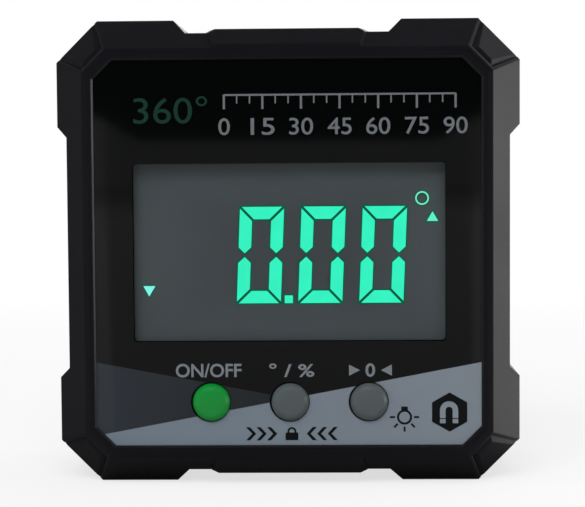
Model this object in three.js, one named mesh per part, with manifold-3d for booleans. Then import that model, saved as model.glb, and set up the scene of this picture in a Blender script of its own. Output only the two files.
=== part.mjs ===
// Digital angle gauge: a square level box with a lit display, three keys, magnets in all four sides
// and a battery bay behind. Millimetres, Z up. The display faces -Y and X runs to its right.
// Inside a group named "face frame" Y is the depth behind the rim and Z is zero at mid height.
import * as THREE from "three";
import { mergeVertices } from "three/addons/utils/BufferGeometryUtils.js";
import Module from "manifold-3d";

const wasm = await Module();
wasm.setup();

// Working values
const overrun = 1; // how far a cutter runs past the faces that it cuts
const sink = 0.5; // how far a boss or rib runs into the wall that carries it
const weldDistance = 0.0001; // vertices closer than this are one
const largeSides = 32; // sides of a key, magnet or cell
const smallSides = 16; // sides of a screw or post
const cornerSteps = 4; // steps round a small corner
const apex = 2 - Math.SQRT2; // what a 45 degree corner loses per unit that its outline moves in

// Case, seen from the front
const faceWidth = 60;
const faceHeight = 60;
const cornerChamfer = 5.35;
const topFootLength = 9.9;
const topFootSlope = 1.7;
const topReliefDepth = 1.78;
const topGapLength = 2.2; // bare relief between a foot and the raised pad
const sideFootLength = 8.3;
const sideFootSlope = 1.4;
const sideReliefDepth = 1.42;
const padRise = 0.5;
const padEndRun = 1;
const padEndTaper = 1.4;

// Case, front and back edges
const bevelWidth = 3.82;
const bevelDepth = 4.6;
const rimSlopeWidth = 0.65;
const rimSlopeDepth = 0.15;
const rimFlatWidth = 0.6;
const rearChamfer = 1.2;
const cornerRidge = 0.45; // border left round the groove of a corner facet
const cornerGrooveFloor = 0.1;
const cornerGrooveDepth = 0.5; // along the rim
const cornerGrooveSlope = 0.9; // run of the slope that rises from the groove to the plateau inside it
const cornerGrooveEndDepth = 0.2; // where the groove runs out at the side of the case
const cornerGrooveEndSlope = 0.4;

// Walls
const sideWall = 2.18;
const topWall = 1.82;
const frontWall = 1.5;
const backWall = 2;
const cavityCorner = 3;
const lipHeight = 1.2;
const lipThickness = 0.8;
const lipGap = 0.15;
const seamGap = 0.2;

// Face panel
const panelRecess = 0.5;
const panelThickness = 1.2;
const panelCorner = 2.5;
const panelClearance = 0.1;

// Display, from the panel back to the board
const displayCentreX = 0.2;
const displayGap = 0.5;
const glassSideMargin = 3.35; // from the edge of the panel to the glass
const glassTopMargin = 9.8;
const glassThickness = 1.1;
const contactLedge = 2.2; // strip of the front glass that reaches above the rear glass
const glassToBacklight = 0.1;
const backlightThickness = 2;
const backlightInset = 0.6;
const displayClearance = 0.3;
const displayFrameWall = 1.5;
const rubberStripInset = 1.2;
const rubberStripThickness = 1.6;

// Circuit board and what it carries
const boardThickness = 1.6;
const boardClearance = 0.5;
const boardCorner = 4;
const componentRoom = 3.8;
const partingBehindBoard = 0.4;
const controllerSize = 10;
const controllerThickness = 1.4;
const controllerX = 8;
const controllerZ = 3;
const sensorSize = 5;
const sensorThickness = 1.5;
const sensorX = -7;
const chipEdge = 0.3;

// Keys and their switches
const keyRadius = 2.48;
const keyPitch = 10.14;
const keyRowX = 0.2;
const keyRowFromEdge = 5.66; // from the bottom edge of the panel to the middle of the keys
const keyToFrame = 0.83; // from the flange of a key to the frame of the display
const keyRise = 1; // above the face panel
const keyTravel = 0.5;
const keyRunningGap = 0.2;
const keyEdgeRadius = 0.55;
const keyCrown = 0.12;
const keyFlange = 1.1; // how far the flange stands out from the key
const keyFlangeThickness = 0.7;
const keyFlangeGap = 0.15;
const switchSize = 6.2;
const switchCorner = 0.5;
const switchHeight = 1.6;
const plungerRadius = 1.75;
const plungerGap = 0.2;
const plungerEngagement = 0.4; // how far the plunger is in its switch at rest
const plungerFloorGap = 0.3;

// Cells and the bay that holds them
const cellDiameter = 10.5;
const cellNubRadius = 1.9;
const cellNubLength = 0.9;
const cellShoulder = 0.8;
const cellBaseRadius = 4.4;
const cellBaseStep = 0.25;
const cellGap = 0.4; // between the two cells
const cellClearance = 0.5;
const cellSideClearance = 0.3;
const bayFloor = 1.5;
const bayWall = 1.4;
const bayEndWall = 1.35;

// Contacts
const contactThickness = 0.4;
const contactGap = 0.1;
const contactWidth = 8;
const contactHeight = 9.5;
const contactBossRadius = 2.6;
const contactBossHeight = 0.6;
const terminalLegWidth = 3;
const terminalSlotGap = 0.15;
const springLength = 3.8;
const springBaseRadius = 3.1;
const springTipRadius = 2;
const springWire = 0.5;
const springCurls = 3;
const springCurlSteps = 8;
const springWireSides = 5;

// Battery cover
const coverLedge = 1.2;
const coverGap = 0.2;
const coverCornerRadius = 2;
const coverEarRadius = 4;
const coverEarReach = 3.2;
const coverEarWall = 1.2;
const coverEarBossDepth = 8;
const coverRibHeight = 1.4;
const coverRibThickness = 1;
const coverRibEndShare = 0.1; // of the bay's half length, left clear at each end of a rib
const coverGripWidth = 16;
const coverGripDepth = 0.5;
const coverGripHeight = 0.9;
const coverGripPitch = 1.8;
const coverGripCount = 4;
const coverGripFromEdge = 2.4;

// Magnets
const magnetRadius = 3;
const magnetThickness = 2.5;
const magnetGap = 0.1;
const magnetSink = 0.1;

// Screws
const caseScrewInset = 3.9; // from the wall of the cavity to the screw's axis
const caseScrewRadius = 1.2;
const caseScrewHole = 1.4;
const caseScrewPilot = 1.3;
const caseScrewHeadRadius = 2.3;
const caseScrewHeadHeight = 1.8;
const caseScrewLength = 11.5;
const casePostRadius = 3.3;
const caseBossRadius = 3.7;
const counterboreRadius = 2.6;
const counterboreDepth = 10;
const boardScrewAlong = 5.4; // from a case screw to the board screw beside it
const boardScrewAcross = 0.5;
const boardScrewRadius = 0.9;
const boardScrewHole = 1.1;
const boardScrewPilot = 1;
const boardScrewHeadRadius = 1.5;
const boardScrewHeadHeight = 1.1;
const boardScrewLength = 4.2;
const boardPostRadius = 1.8;
const coverScrewRadius = 1;
const coverScrewHole = 1.2;
const coverScrewPilot = 1.15;
const coverScrewHeadRadius = 1.9;
const coverScrewHeadHeight = 1.1;
const coverScrewHeadSink = 1.2;
const coverScrewLength = 6;
const crossWidth = 0.5;
const crossDepth = 0.7;
const crossReachShare = 0.62; // of the head's radius

// Depths behind the rim, worked out from the stack
const panelFront = panelRecess;
const panelBack = panelFront + panelThickness;
const wallBack = panelBack + frontWall;
const glassFront = panelBack + displayGap;
const rearGlassFront = glassFront + glassThickness;
const glassBack = rearGlassFront + glassThickness;
const backlightFront = glassBack + glassToBacklight;
const boardFront = backlightFront + backlightThickness;
const boardBack = boardFront + boardThickness;
const parting = boardBack + partingBehindBoard;
const rearShellFront = parting + seamGap;
const floorFront = boardBack + componentRoom;
const floorBack = floorFront + bayFloor;
const cellDepth = floorBack + cellClearance + cellDiameter / 2;
const backWallFront = cellDepth + cellDiameter / 2 + cellClearance;
const caseDepth = backWallFront + backWall;
const keyFront = panelFront - keyRise;
const keyFlangeFront = wallBack + keyFlangeGap;
const keyBack = keyFlangeFront + keyFlangeThickness;
const switchFront = boardFront - switchHeight;
const counterboreFloor = caseDepth - counterboreDepth;

// Half sizes of the outlines, all centred on the face
const halfWidth = faceWidth / 2;
const halfHeight = faceHeight / 2;
const cavityHalfWidth = halfWidth - sideReliefDepth - sideWall;
const cavityHalfHeight = halfHeight - topReliefDepth - topWall;
const panelInset = bevelWidth + rimSlopeWidth + rimFlatWidth + panelClearance;
const panelHalfWidth = halfWidth - panelInset;
const panelHalfHeight = halfHeight - panelInset;
const padHalf = halfWidth - cornerChamfer - topFootLength - topFootSlope - topGapLength - padEndRun;
const keyRowZ = keyRowFromEdge - panelHalfHeight;
const frameBottom = keyRowZ + keyRadius + keyFlange + keyToFrame;
const glassBottom = frameBottom + displayFrameWall + displayClearance;
const glassTop = panelHalfHeight - glassTopMargin;
const glassHalfWidth = panelHalfWidth - glassSideMargin;
const rearGlassTop = glassTop - contactLedge;
const cellPitch = cellDiameter + cellGap;
const bayHalfLength = cavityHalfWidth - bayEndWall;
const cellLength = (bayHalfLength - contactThickness - contactGap * 2) * 2 - contactBossHeight - springLength;
const bayHalfHeight = cellPitch / 2 + cellDiameter / 2 + cellSideClearance;
const coverHalfLength = bayHalfLength + coverLedge;
const coverHalfHeight = bayHalfHeight + coverLedge;
const coverEarZ = coverHalfHeight + coverEarReach;
const caseScrewX = cavityHalfWidth - caseScrewInset;
const caseScrewZ = cavityHalfHeight - caseScrewInset;

// Finishes
const finish = (color, roughness, metalness = 0) =>
  new THREE.MeshStandardMaterial({ color, roughness, metalness });
const satinBlack = finish(0x1b1c1f, 0.55);
const glossBlack = finish(0x0e0f10, 0.12);
const displayGrey = finish(0x3d4547, 0.25);
const mouldedWhite = finish(0xd8dad6, 0.5);
const mouldedGrey = finish(0x3a3b3d, 0.6);
const softRubber = finish(0x8e9296, 0.85);
const boardGreen = finish(0x1f5a38, 0.45);
const chipBlack = finish(0x17181a, 0.5);
const greenKey = finish(0x1e9132, 0.45);
const greyKey = finish(0x69736e, 0.5);
const steel = finish(0xb4b6b8, 0.35, 1);
const nickel = finish(0xc9c8c2, 0.22, 1);
const blackScrew = finish(0x2a2b2d, 0.4, 1);
const cellSleeve = finish(0x2f3a44, 0.35, 0.3);

// Solids from closed geometries
function solid(geometry) {
  const bare = geometry.index ? geometry.toNonIndexed() : geometry.clone();
  bare.deleteAttribute("normal");
  bare.deleteAttribute("uv");
  const merged = mergeVertices(bare, weldDistance);
  const mesh = new wasm.Mesh({
    numProp: 3,
    vertProperties: new Float32Array(merged.attributes.position.array),
    triVerts: new Uint32Array(merged.index.array),
  });
  return new wasm.Manifold(mesh);
}

const joined = (base, ...others) => others.reduce((sum, other) => sum.add(other), base);
const cut = (base, ...cutters) => cutters.reduce((rest, cutter) => rest.subtract(cutter), base);

function piece(name, made, material) {
  const { vertProperties, triVerts } = made.getMesh();
  const geometry = new THREE.BufferGeometry()
    .setAttribute("position", new THREE.BufferAttribute(new Float32Array(vertProperties), 3))
    .setIndex(new THREE.BufferAttribute(new Uint32Array(triVerts), 1))
    .toNonIndexed();
  geometry.computeVertexNormals();
  const mesh = new THREE.Mesh(geometry, material);
  mesh.name = name;
  return mesh;
}

// A box given by its limits along X, along the depth and along Z.
function block([x0, x1], [y0, y1], [z0, z1]) {
  const geometry = new THREE.BoxGeometry(x1 - x0, y1 - y0, z1 - z0);
  return solid(geometry.translate((x0 + x1) / 2, (y0 + y1) / 2, (z0 + z1) / 2));
}

const around = (centre, half) => [centre - half, centre + half];

// A round bar along the depth.
function bar(radius, [y0, y1], x, z, sides = smallSides) {
  const geometry = new THREE.CylinderGeometry(radius, radius, y1 - y0, sides);
  return solid(geometry.translate(x, (y0 + y1) / 2, z));
}

// A flat outline in X and Z, carried through a range of depth.
function prism(shape, [y0, y1], curveSegments = cornerSteps) {
  const geometry = new THREE.ExtrudeGeometry(shape, { depth: y1 - y0, bevelEnabled: false, curveSegments });
  return solid(geometry.rotateX(Math.PI / 2).translate(0, y1, 0));
}

// A revolved profile about the depth axis, given as radius and depth from front to back.
function turned(profile, sides) {
  const points = profile.map(([radius, y]) => new THREE.Vector2(radius, y));
  return solid(new THREE.LatheGeometry(points, sides));
}

// A skin over rings of equal counts, with a fan over each end ring.
function loft(rings) {
  const count = rings[0].length;
  const last = (rings.length - 1) * count;
  const index = [];
  for (let start = 0; start < last; start += count) {
    for (let i = 0; i < count; i += 1) {
      const here = start + i;
      const next = start + ((i + 1) % count);
      index.push(here, next, next + count, here, next + count, here + count);
    }
  }
  for (let i = 1; i < count - 1; i += 1) {
    index.push(0, i + 1, i, last, last + i, last + i + 1);
  }
  const positions = rings.flat().flatMap((point) => point.toArray());
  const geometry = new THREE.BufferGeometry()
    .setAttribute("position", new THREE.Float32BufferAttribute(positions, 3))
    .setIndex(index);
  return solid(geometry);
}

// The chamfered square of the case, moved out by grow, as a ring at one depth.
function octagon(halfX, halfZ, corner, grow, y) {
  const x = halfX + grow;
  const z = halfZ + grow;
  const leg = corner + grow * apex;
  const outline = [
    [leg - x, z],
    [x - leg, z],
    [x, z - leg],
    [x, leg - z],
    [x - leg, -z],
    [leg - x, -z],
    [-x, leg - z],
    [-x, z - leg],
  ];
  return outline.map(([px, pz]) => new THREE.Vector3(px, y, pz));
}

function roundedRect(halfX, halfZ, radius, centreZ = 0) {
  const shape = new THREE.Shape();
  const x = halfX - radius;
  const z = halfZ - radius;
  shape.absarc(x, centreZ + z, radius, 0, Math.PI / 2);
  shape.absarc(-x, centreZ + z, radius, Math.PI / 2, Math.PI);
  shape.absarc(-x, centreZ - z, radius, Math.PI, Math.PI * 1.5);
  shape.absarc(x, centreZ - z, radius, Math.PI * 1.5, Math.PI * 2);
  shape.closePath();
  return shape;
}

// The cross recess of a screw head whose top is at headTop and faces the back.
function crossRecess(headRadius, headTop, x, z) {
  const reach = headRadius * crossReachShare;
  const depths = [headTop - crossDepth, headTop + overrun];
  const across = block(around(x, reach), depths, around(z, crossWidth / 2));
  return across.add(block(around(x, crossWidth / 2), depths, around(z, reach)));
}

// A screw driven from the back, with its seat, shank and cross recess.
function screw(shankRadius, length, headRadius, headHeight, seat, x, z) {
  const shank = bar(shankRadius, [seat - length, seat + sink], x, z);
  const head = bar(headRadius, [seat, seat + headHeight], x, z);
  return cut(joined(head, shank), crossRecess(headRadius, seat + headHeight, x, z));
}

// Feet and relief of one side, as places along it and distances out, from one corner to the other.
function relief(half, out, footLength, footSlope, depth) {
  const start = half - cornerChamfer;
  const footEnd = start - footLength;
  const floorEnd = footEnd - footSlope;
  const oneEnd = [
    [start, out],
    [footEnd, out],
    [floorEnd, out - depth],
  ];
  return [...oneEnd.map(([along, away]) => [-along, away]), ...oneEnd.reverse()];
}

function caseOutline() {
  const flat = relief(halfWidth, halfHeight, topFootLength, topFootSlope, topReliefDepth);
  const upright = relief(halfHeight, halfWidth, sideFootLength, sideFootSlope, sideReliefDepth);
  const points = [
    ...flat.map(([along, out]) => [along, out]),
    ...upright.map(([along, out]) => [out, -along]),
    ...flat.map(([along, out]) => [-along, -out]),
    ...upright.map(([along, out]) => [-out, along]),
  ];
  return new THREE.Shape(points.map(([x, z]) => new THREE.Vector2(x, z)));
}

// The bevelled body that the case outline is cut from; raise makes it taller for the pads.
function bevelledBody(raise) {
  const ring = (inset, y) => octagon(halfWidth, halfHeight + raise, cornerChamfer, -inset, y);
  return loft([
    ring(bevelWidth + rimSlopeWidth, 0),
    ring(bevelWidth, rimSlopeDepth),
    ring(0, bevelDepth),
    ring(0, caseDepth - rearChamfer),
    ring(rearChamfer, caseDepth),
  ]);
}

// One raised pad in the middle of the top or the bottom, side being 1 or -1.
function pad(side) {
  const floor = halfHeight - topReliefDepth;
  const section = (half, y) => {
    const corners = [
      [-half, floor + padRise],
      [half, floor + padRise],
      [half + padEndRun, floor],
      [half + padEndRun, floor - bevelWidth - sink],
      [-half - padEndRun, floor - bevelWidth - sink],
      [-half - padEndRun, floor],
    ];
    const turnedOver = corners.map(([x, z]) => new THREE.Vector3(x * side, y, z * side));
    return turnedOver;
  };
  const rings = [
    section(padHalf - padEndTaper, rimSlopeDepth),
    section(padHalf, bevelDepth),
    section(padHalf, caseDepth),
  ];
  return loft(rings).intersect(bevelledBody(padRise));
}

// The groove in one corner facet of the bevel: it runs round a plateau on three sides, is steep towards
// the border and slopes up to the plateau, and fades towards the side of the case.
function cornerGroove(signX, signZ) {
  const out = new THREE.Vector3(signX, 0, signZ).normalize();
  const along = new THREE.Vector3(-signZ, 0, signX).normalize();
  const outerReach = (halfWidth + halfHeight - cornerChamfer) / Math.SQRT2;
  const innerReach = outerReach - bevelWidth;
  const outerHalf = cornerChamfer / Math.SQRT2;
  const innerHalf = (cornerChamfer - bevelWidth * apex) / Math.SQRT2;
  const inner = out.clone().multiplyScalar(innerReach);
  inner.y = rimSlopeDepth;
  const outer = out.clone().multiplyScalar(outerReach);
  outer.y = bevelDepth;
  const slope = outer.clone().sub(inner);
  const slopeLength = slope.length();
  slope.normalize();
  const normal = slope.clone().cross(along).multiplyScalar(signX * signZ);
  normal.multiplyScalar(-Math.sign(normal.y));
  const splay = (outerHalf - innerHalf) / slopeLength;
  const far = slopeLength + overrun;
  const corner = (reach, side, inset, height) => {
    const half = innerHalf + splay * reach - cornerRidge - inset;
    const onFacet = inner.clone().addScaledVector(slope, reach).addScaledVector(along, side * half);
    return onFacet.addScaledVector(normal, height);
  };
  const ring = (inset, endInset, height, endHeight) => [
    corner(cornerRidge + inset, -1, inset, height),
    corner(cornerRidge + inset, 1, inset, height),
    corner(far, 1, endInset, endHeight),
    corner(far, -1, endInset, endHeight),
  ];
  const upright = (rings) => {
    const made = loft(rings);
    return made.volume() > 0 ? made : loft(rings.toReversed());
  };
  const rise = cornerGrooveFloor + cornerGrooveSlope;
  const endRise = cornerGrooveFloor + cornerGrooveEndSlope;
  const pocket = upright([
    ring(0, 0, -cornerGrooveDepth, -cornerGrooveEndDepth),
    ring(0, 0, overrun, overrun),
  ]);
  const plateau = upright([
    ring(cornerGrooveFloor, cornerGrooveFloor, -cornerGrooveDepth - overrun, -cornerGrooveEndDepth - overrun),
    ring(cornerGrooveFloor, cornerGrooveFloor, -cornerGrooveDepth, -cornerGrooveEndDepth),
    ring(rise, endRise, 0, 0),
    ring(rise, endRise, overrun * 2, overrun * 2),
  ]);
  return cut(pocket, plateau);
}

function outerBody() {
  const body = prism(caseOutline(), [-overrun, caseDepth + overrun]).intersect(bevelledBody(0));
  const corners = [-1, 1].flatMap((x) => [-1, 1].map((z) => cornerGroove(x, z)));
  return cut(joined(body, pad(1), pad(-1)), ...corners);
}

// Everything of the case between two depths.
const slice = (from, to) =>
  block(around(0, faceWidth), [from, to], around(0, faceHeight));

const cavityRing = (grow, y) => octagon(cavityHalfWidth, cavityHalfHeight, cavityCorner, grow, y);
const cavity = (grow, [y0, y1]) => loft([cavityRing(grow, y0), cavityRing(grow, y1)]);

const fourCorners = (x, z) => [
  [-x, z],
  [x, z],
  [x, -z],
  [-x, -z],
];
const caseScrewPlaces = fourCorners(caseScrewX, caseScrewZ);

// The upper board screws lie beside the case screws and the lower ones above them.
const boardScrewPlaces = [
  ...fourCorners(caseScrewX - boardScrewAlong, caseScrewZ - boardScrewAcross).slice(0, 2),
  ...fourCorners(caseScrewX - boardScrewAcross, caseScrewZ - boardScrewAlong).slice(2),
];
const keyPlaces = [-1, 0, 1].map((step) => keyRowX + step * keyPitch);

// The face panel's outline, moved out by grow, through a range of depth.
function panelBody(grow, depths) {
  const ring = (y) => octagon(panelHalfWidth, panelHalfHeight, panelCorner, grow, y);
  return loft(depths.map(ring));
}

// The outline of the display's front glass, moved out by grow, through a range of depth.
const displayBlock = (grow, depths) =>
  block(around(displayCentreX, glassHalfWidth + grow), depths, [glassBottom - grow, glassTop + grow]);

function frontShell() {
  const throughWall = [panelBack - overrun, wallBack + overrun];
  const postDepths = [wallBack - sink, parting];
  const boardPostDepths = [wallBack - sink, boardFront];
  const boardPilotDepths = [wallBack - frontWall / 2, boardFront + overrun];
  const shell = cut(
    outerBody().intersect(slice(-overrun, parting)),
    panelBody(panelClearance, [-overrun, panelBack]),
    cavity(0, [wallBack, parting + overrun]),
    cavity(lipThickness + lipGap, [parting - lipHeight - lipGap, parting + overrun]),
    displayBlock(displayClearance, throughWall),
    ...keyPlaces.map((x) => bar(keyRadius + keyRunningGap, throughWall, x, keyRowZ, largeSides)),
  );
  const posts = [
    ...caseScrewPlaces.map(([x, z]) => bar(casePostRadius, postDepths, x, z)),
    ...boardScrewPlaces.map(([x, z]) => bar(boardPostRadius, boardPostDepths, x, z)),
  ];
  const pilots = [
    ...caseScrewPlaces.map(([x, z]) => bar(caseScrewPilot, [wallBack, parting + overrun], x, z)),
    ...boardScrewPlaces.map(([x, z]) => bar(boardScrewPilot, boardPilotDepths, x, z)),
  ];
  return cut(joined(shell, ...posts), ...pilots);
}

// Magnets lie in the middle of each foot, at mid depth, with their axes out of the four sides.
function magnetPlaces() {
  const topAlong = halfWidth - cornerChamfer - topFootLength / 2;
  const sideAlong = halfHeight - cornerChamfer - sideFootLength / 2;
  return [
    { name: "magnet_top_left", x: -topAlong, z: halfHeight, turn: 0 },
    { name: "magnet_top_right", x: topAlong, z: halfHeight, turn: 0 },
    { name: "magnet_right_upper", x: halfWidth, z: sideAlong, turn: 1 },
    { name: "magnet_right_lower", x: halfWidth, z: -sideAlong, turn: 1 },
    { name: "magnet_bottom_right", x: topAlong, z: -halfHeight, turn: 2 },
    { name: "magnet_bottom_left", x: -topAlong, z: -halfHeight, turn: 2 },
    { name: "magnet_left_lower", x: -halfWidth, z: -sideAlong, turn: 3 },
    { name: "magnet_left_upper", x: -halfWidth, z: sideAlong, turn: 3 },
  ];
}

// A disc sunk below a foot, from one depth under its face to another; turn counts quarter turns from the top.
function sunkDisc(radius, place, from, to) {
  const geometry = new THREE.CylinderGeometry(radius, radius, to - from, largeSides);
  geometry.rotateX(Math.PI / 2).translate(0, 0, -(from + to) / 2);
  geometry.rotateY((place.turn * Math.PI) / 2).translate(place.x, caseDepth / 2, place.z);
  return solid(geometry);
}

function coverEar(grow, depths) {
  const root = block(around(0, coverEarRadius + grow), depths, [0, coverEarZ]);
  return root.add(bar(coverEarRadius + grow, depths, 0, coverEarZ, largeSides));
}

function rearShell() {
  const wallDepths = [rearShellFront, caseDepth + overrun];
  const lip = cavity(lipThickness, [parting - lipHeight, rearShellFront + sink]);
  const behindFloor = [floorFront, caseDepth - rearChamfer];
  const bayBlock = block(
    around(0, cavityHalfWidth + sink),
    [floorFront, backWallFront + sink],
    around(0, bayHalfHeight + bayWall),
  );
  const earBoss = bar(
    coverEarRadius + coverEarWall,
    [backWallFront - coverEarBossDepth, backWallFront + sink],
    0,
    coverEarZ,
    largeSides,
  );
  const bosses = caseScrewPlaces.map(([x, z]) => bar(caseBossRadius, [parting, backWallFront + sink], x, z));
  const hollow = cavity(0, [parting - lipHeight - overrun, backWallFront]);
  const walls = cut(joined(outerBody().intersect(slice(...wallDepths)), lip), hollow);
  const terminalSlots = [1, -1].map((side) =>
    block(
      [-bayHalfLength, terminalSlotGap * 2 + contactThickness - bayHalfLength],
      [floorFront - overrun, floorBack + overrun],
      around((side * cellPitch) / 2, terminalLegWidth / 2 + terminalSlotGap),
    ),
  );
  const recessDepths = [backWallFront, caseDepth + overrun];
  return cut(
    joined(walls, bayBlock, earBoss, ...bosses),
    block(around(0, bayHalfLength), [floorBack, caseDepth + overrun], around(0, bayHalfHeight)),
    prism(roundedRect(coverHalfLength, coverHalfHeight, coverCornerRadius), recessDepths),
    coverEar(coverGap, recessDepths),
    bar(coverScrewPilot, [backWallFront - coverEarBossDepth + sink, caseDepth], 0, coverEarZ),
    ...terminalSlots,
    ...magnetPlaces().map((place) =>
      sunkDisc(magnetRadius + magnetGap, place, -overrun, magnetSink + magnetThickness + magnetGap)),
    ...caseScrewPlaces.map(([x, z]) => bar(caseScrewHole, [parting - overrun, caseDepth + overrun], x, z)),
    ...caseScrewPlaces.map(([x, z]) => bar(counterboreRadius, [counterboreFloor, caseDepth + overrun], x, z)),
  );
}

function facePanel() {
  const past = [panelFront - overrun, panelBack + overrun];
  const holes = keyPlaces.map((x) => bar(keyRadius + keyRunningGap, past, x, keyRowZ, largeSides));
  return cut(panelBody(0, [panelFront, panelBack]), ...holes);
}

// Front and rear glass bonded together, with the contact ledge of the front glass above.
function displayGlass() {
  const rear = block(
    around(displayCentreX, glassHalfWidth),
    [rearGlassFront - sink, glassBack],
    [glassBottom, rearGlassTop],
  );
  return displayBlock(0, [glassFront, rearGlassFront]).add(rear);
}

function displayFrame() {
  const outer = displayBlock(displayClearance + displayFrameWall, [wallBack, boardFront]);
  const inner = displayBlock(displayClearance, [wallBack - overrun, boardFront + overrun]);
  return cut(outer, inner);
}

function backlightPanel() {
  return block(
    around(displayCentreX, glassHalfWidth - backlightInset),
    [backlightFront, boardFront],
    [glassBottom + backlightInset, rearGlassTop - backlightInset],
  );
}

// The conductive rubber strip that joins the ledge of the front glass to the board.
function contactStrip() {
  return block(
    around(displayCentreX, glassHalfWidth - rubberStripInset),
    [rearGlassFront, boardFront],
    [glassTop - rubberStripThickness, glassTop],
  );
}

function circuitBoard() {
  const depths = [boardFront, boardBack];
  const past = [boardFront - overrun, boardBack + overrun];
  const ring = (y) =>
    octagon(cavityHalfWidth - boardClearance, cavityHalfHeight - boardClearance, boardCorner, 0, y);
  return cut(
    loft(depths.map(ring)),
    ...caseScrewPlaces.map(([x, z]) => bar(casePostRadius + boardClearance, past, x, z)),
    ...boardScrewPlaces.map(([x, z]) => bar(boardScrewHole, past, x, z)),
  );
}

// A chip on the back of the board, its top drawn in a little.
function chip(size, thickness, x, z) {
  const ring = (half, y) => [
    new THREE.Vector3(x - half, y, z + half),
    new THREE.Vector3(x + half, y, z + half),
    new THREE.Vector3(x + half, y, z - half),
    new THREE.Vector3(x - half, y, z - half),
  ];
  const half = size / 2;
  return loft([
    ring(half, boardBack),
    ring(half, boardBack + thickness - chipEdge),
    ring(half - chipEdge, boardBack + thickness),
  ]);
}

// A key cap with its rounded front edge and the flange that keeps it behind the wall.
function keyCap(x) {
  const edge = [];
  for (let step = 0; step <= cornerSteps; step += 1) {
    const angle = (step / cornerSteps) * (Math.PI / 2);
    const across = keyRadius - keyEdgeRadius * (1 - Math.sin(angle));
    edge.push([across, keyFront + keyCrown + keyEdgeRadius * (1 - Math.cos(angle))]);
  }
  const profile = [
    [0, keyFront],
    ...edge,
    [keyRadius, keyFlangeFront],
    [keyRadius + keyFlange, keyFlangeFront],
    [keyRadius + keyFlange, keyBack],
    [0, keyBack],
  ];
  return turned(profile, largeSides).translate([x, 0, keyRowZ]);
}

function switchBody(x) {
  const half = switchSize / 2;
  const body = prism(roundedRect(half, half, switchCorner), [switchFront, boardFront], 1);
  const bore = bar(
    plungerRadius + plungerGap,
    [switchFront - overrun, switchFront + plungerEngagement + keyTravel + plungerFloorGap],
    0,
    0,
  );
  return cut(body, bore).translate([x, 0, keyRowZ]);
}

const switchPlunger = (x) =>
  bar(plungerRadius, [keyBack, switchFront + plungerEngagement], x, keyRowZ);

// A dry cell along X with its nub towards +X.
function cell() {
  const half = cellLength / 2;
  const radius = cellDiameter / 2;
  const shoulder = half - cellNubLength;
  const profile = [
    [0, half],
    [cellNubRadius, half],
    [cellNubRadius, shoulder],
    [radius - cellShoulder, shoulder],
    [radius, shoulder - cellShoulder],
    [radius, -half + cellBaseStep],
    [radius - cellBaseStep, -half],
    [cellBaseRadius, -half],
    [cellBaseRadius - cellBaseStep, -half + cellBaseStep],
    [0, -half + cellBaseStep],
  ];
  const points = profile.reverse().map(([r, along]) => new THREE.Vector2(r, along));
  return solid(new THREE.LatheGeometry(points, largeSides).rotateZ(-Math.PI / 2));
}

// The wire of a contact spring: straight off the plate, a tapering coil, and straight on to the cell.
function springPath() {
  const rise = springLength - springWire * 2;
  const steps = springCurls * springCurlSteps;
  const points = [new THREE.Vector3(0, 0, springBaseRadius)];
  for (let step = 0; step <= steps; step += 1) {
    const share = step / steps;
    const angle = springCurls * Math.PI * 2 * share;
    const radius = springBaseRadius + (springTipRadius - springBaseRadius) * share;
    const along = springWire + rise * share;
    points.push(new THREE.Vector3(along, radius * Math.sin(angle), radius * Math.cos(angle)));
  }
  const end = points.at(-1).clone();
  end.x = springLength;
  points.push(end);
  return points;
}

// A tube with one ring at each point, square to the path at both ends.
function wireTube(points, radius, sides) {
  const last = points.length - 1;
  const direction = (i) => points[Math.min(i + 1, last)].clone().sub(points[Math.max(i - 1, 0)]).normalize();
  let across = new THREE.Vector3(0, 0, 1);
  const rings = points.map((point, i) => {
    const forward = direction(i);
    across = across.clone().addScaledVector(forward, -across.dot(forward)).normalize();
    const up = forward.clone().cross(across);
    return Array.from({ length: sides }, (unused, side) => {
      const angle = (side / sides) * Math.PI * 2;
      return point
        .clone()
        .addScaledVector(across, radius * Math.cos(angle))
        .addScaledVector(up, radius * Math.sin(angle));
    });
  });
  return loft(rings);
}

// Least clear gap between two stretches of the wire that lie more than half a curl apart.
function leastSpringGap(points) {
  let least = Infinity;
  const apart = springCurlSteps / 2;
  points.forEach((point, i) => {
    points.slice(i + apart).forEach((other) => {
      least = Math.min(least, point.distanceTo(other) - springWire);
    });
  });
  return least;
}

// A contact plate against one end wall of the bay, over the cells listed by their heights.
function contactPlate(end, heights, bossHeight, legHeight) {
  const wallFace = end * (bayHalfLength - contactGap);
  const front = wallFace - end * contactThickness;
  const plateAcross = [Math.min(wallFace, front), Math.max(wallFace, front)];
  const top = Math.max(...heights) + contactWidth / 2;
  const bottom = Math.min(...heights) - contactWidth / 2;
  const plate = block(plateAcross, around(cellDepth, contactHeight / 2), [bottom, top]);
  const bossTip = front - end * contactBossHeight;
  const boss = new THREE.CylinderGeometry(
    contactBossRadius,
    contactBossRadius,
    contactBossHeight + contactThickness / 2,
    smallSides,
  );
  const bossX = (bossTip + front + (end * contactThickness) / 2) / 2;
  boss.rotateZ(Math.PI / 2).translate(bossX, cellDepth, bossHeight ?? 0);
  const withBoss = bossHeight === null ? plate : plate.add(solid(boss));
  if (legHeight === null) {
    return withBoss;
  }
  const leg = block(
    plateAcross,
    [boardBack + contactGap, cellDepth],
    around(legHeight, terminalLegWidth / 2),
  );
  return withBoss.add(leg);
}

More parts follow.
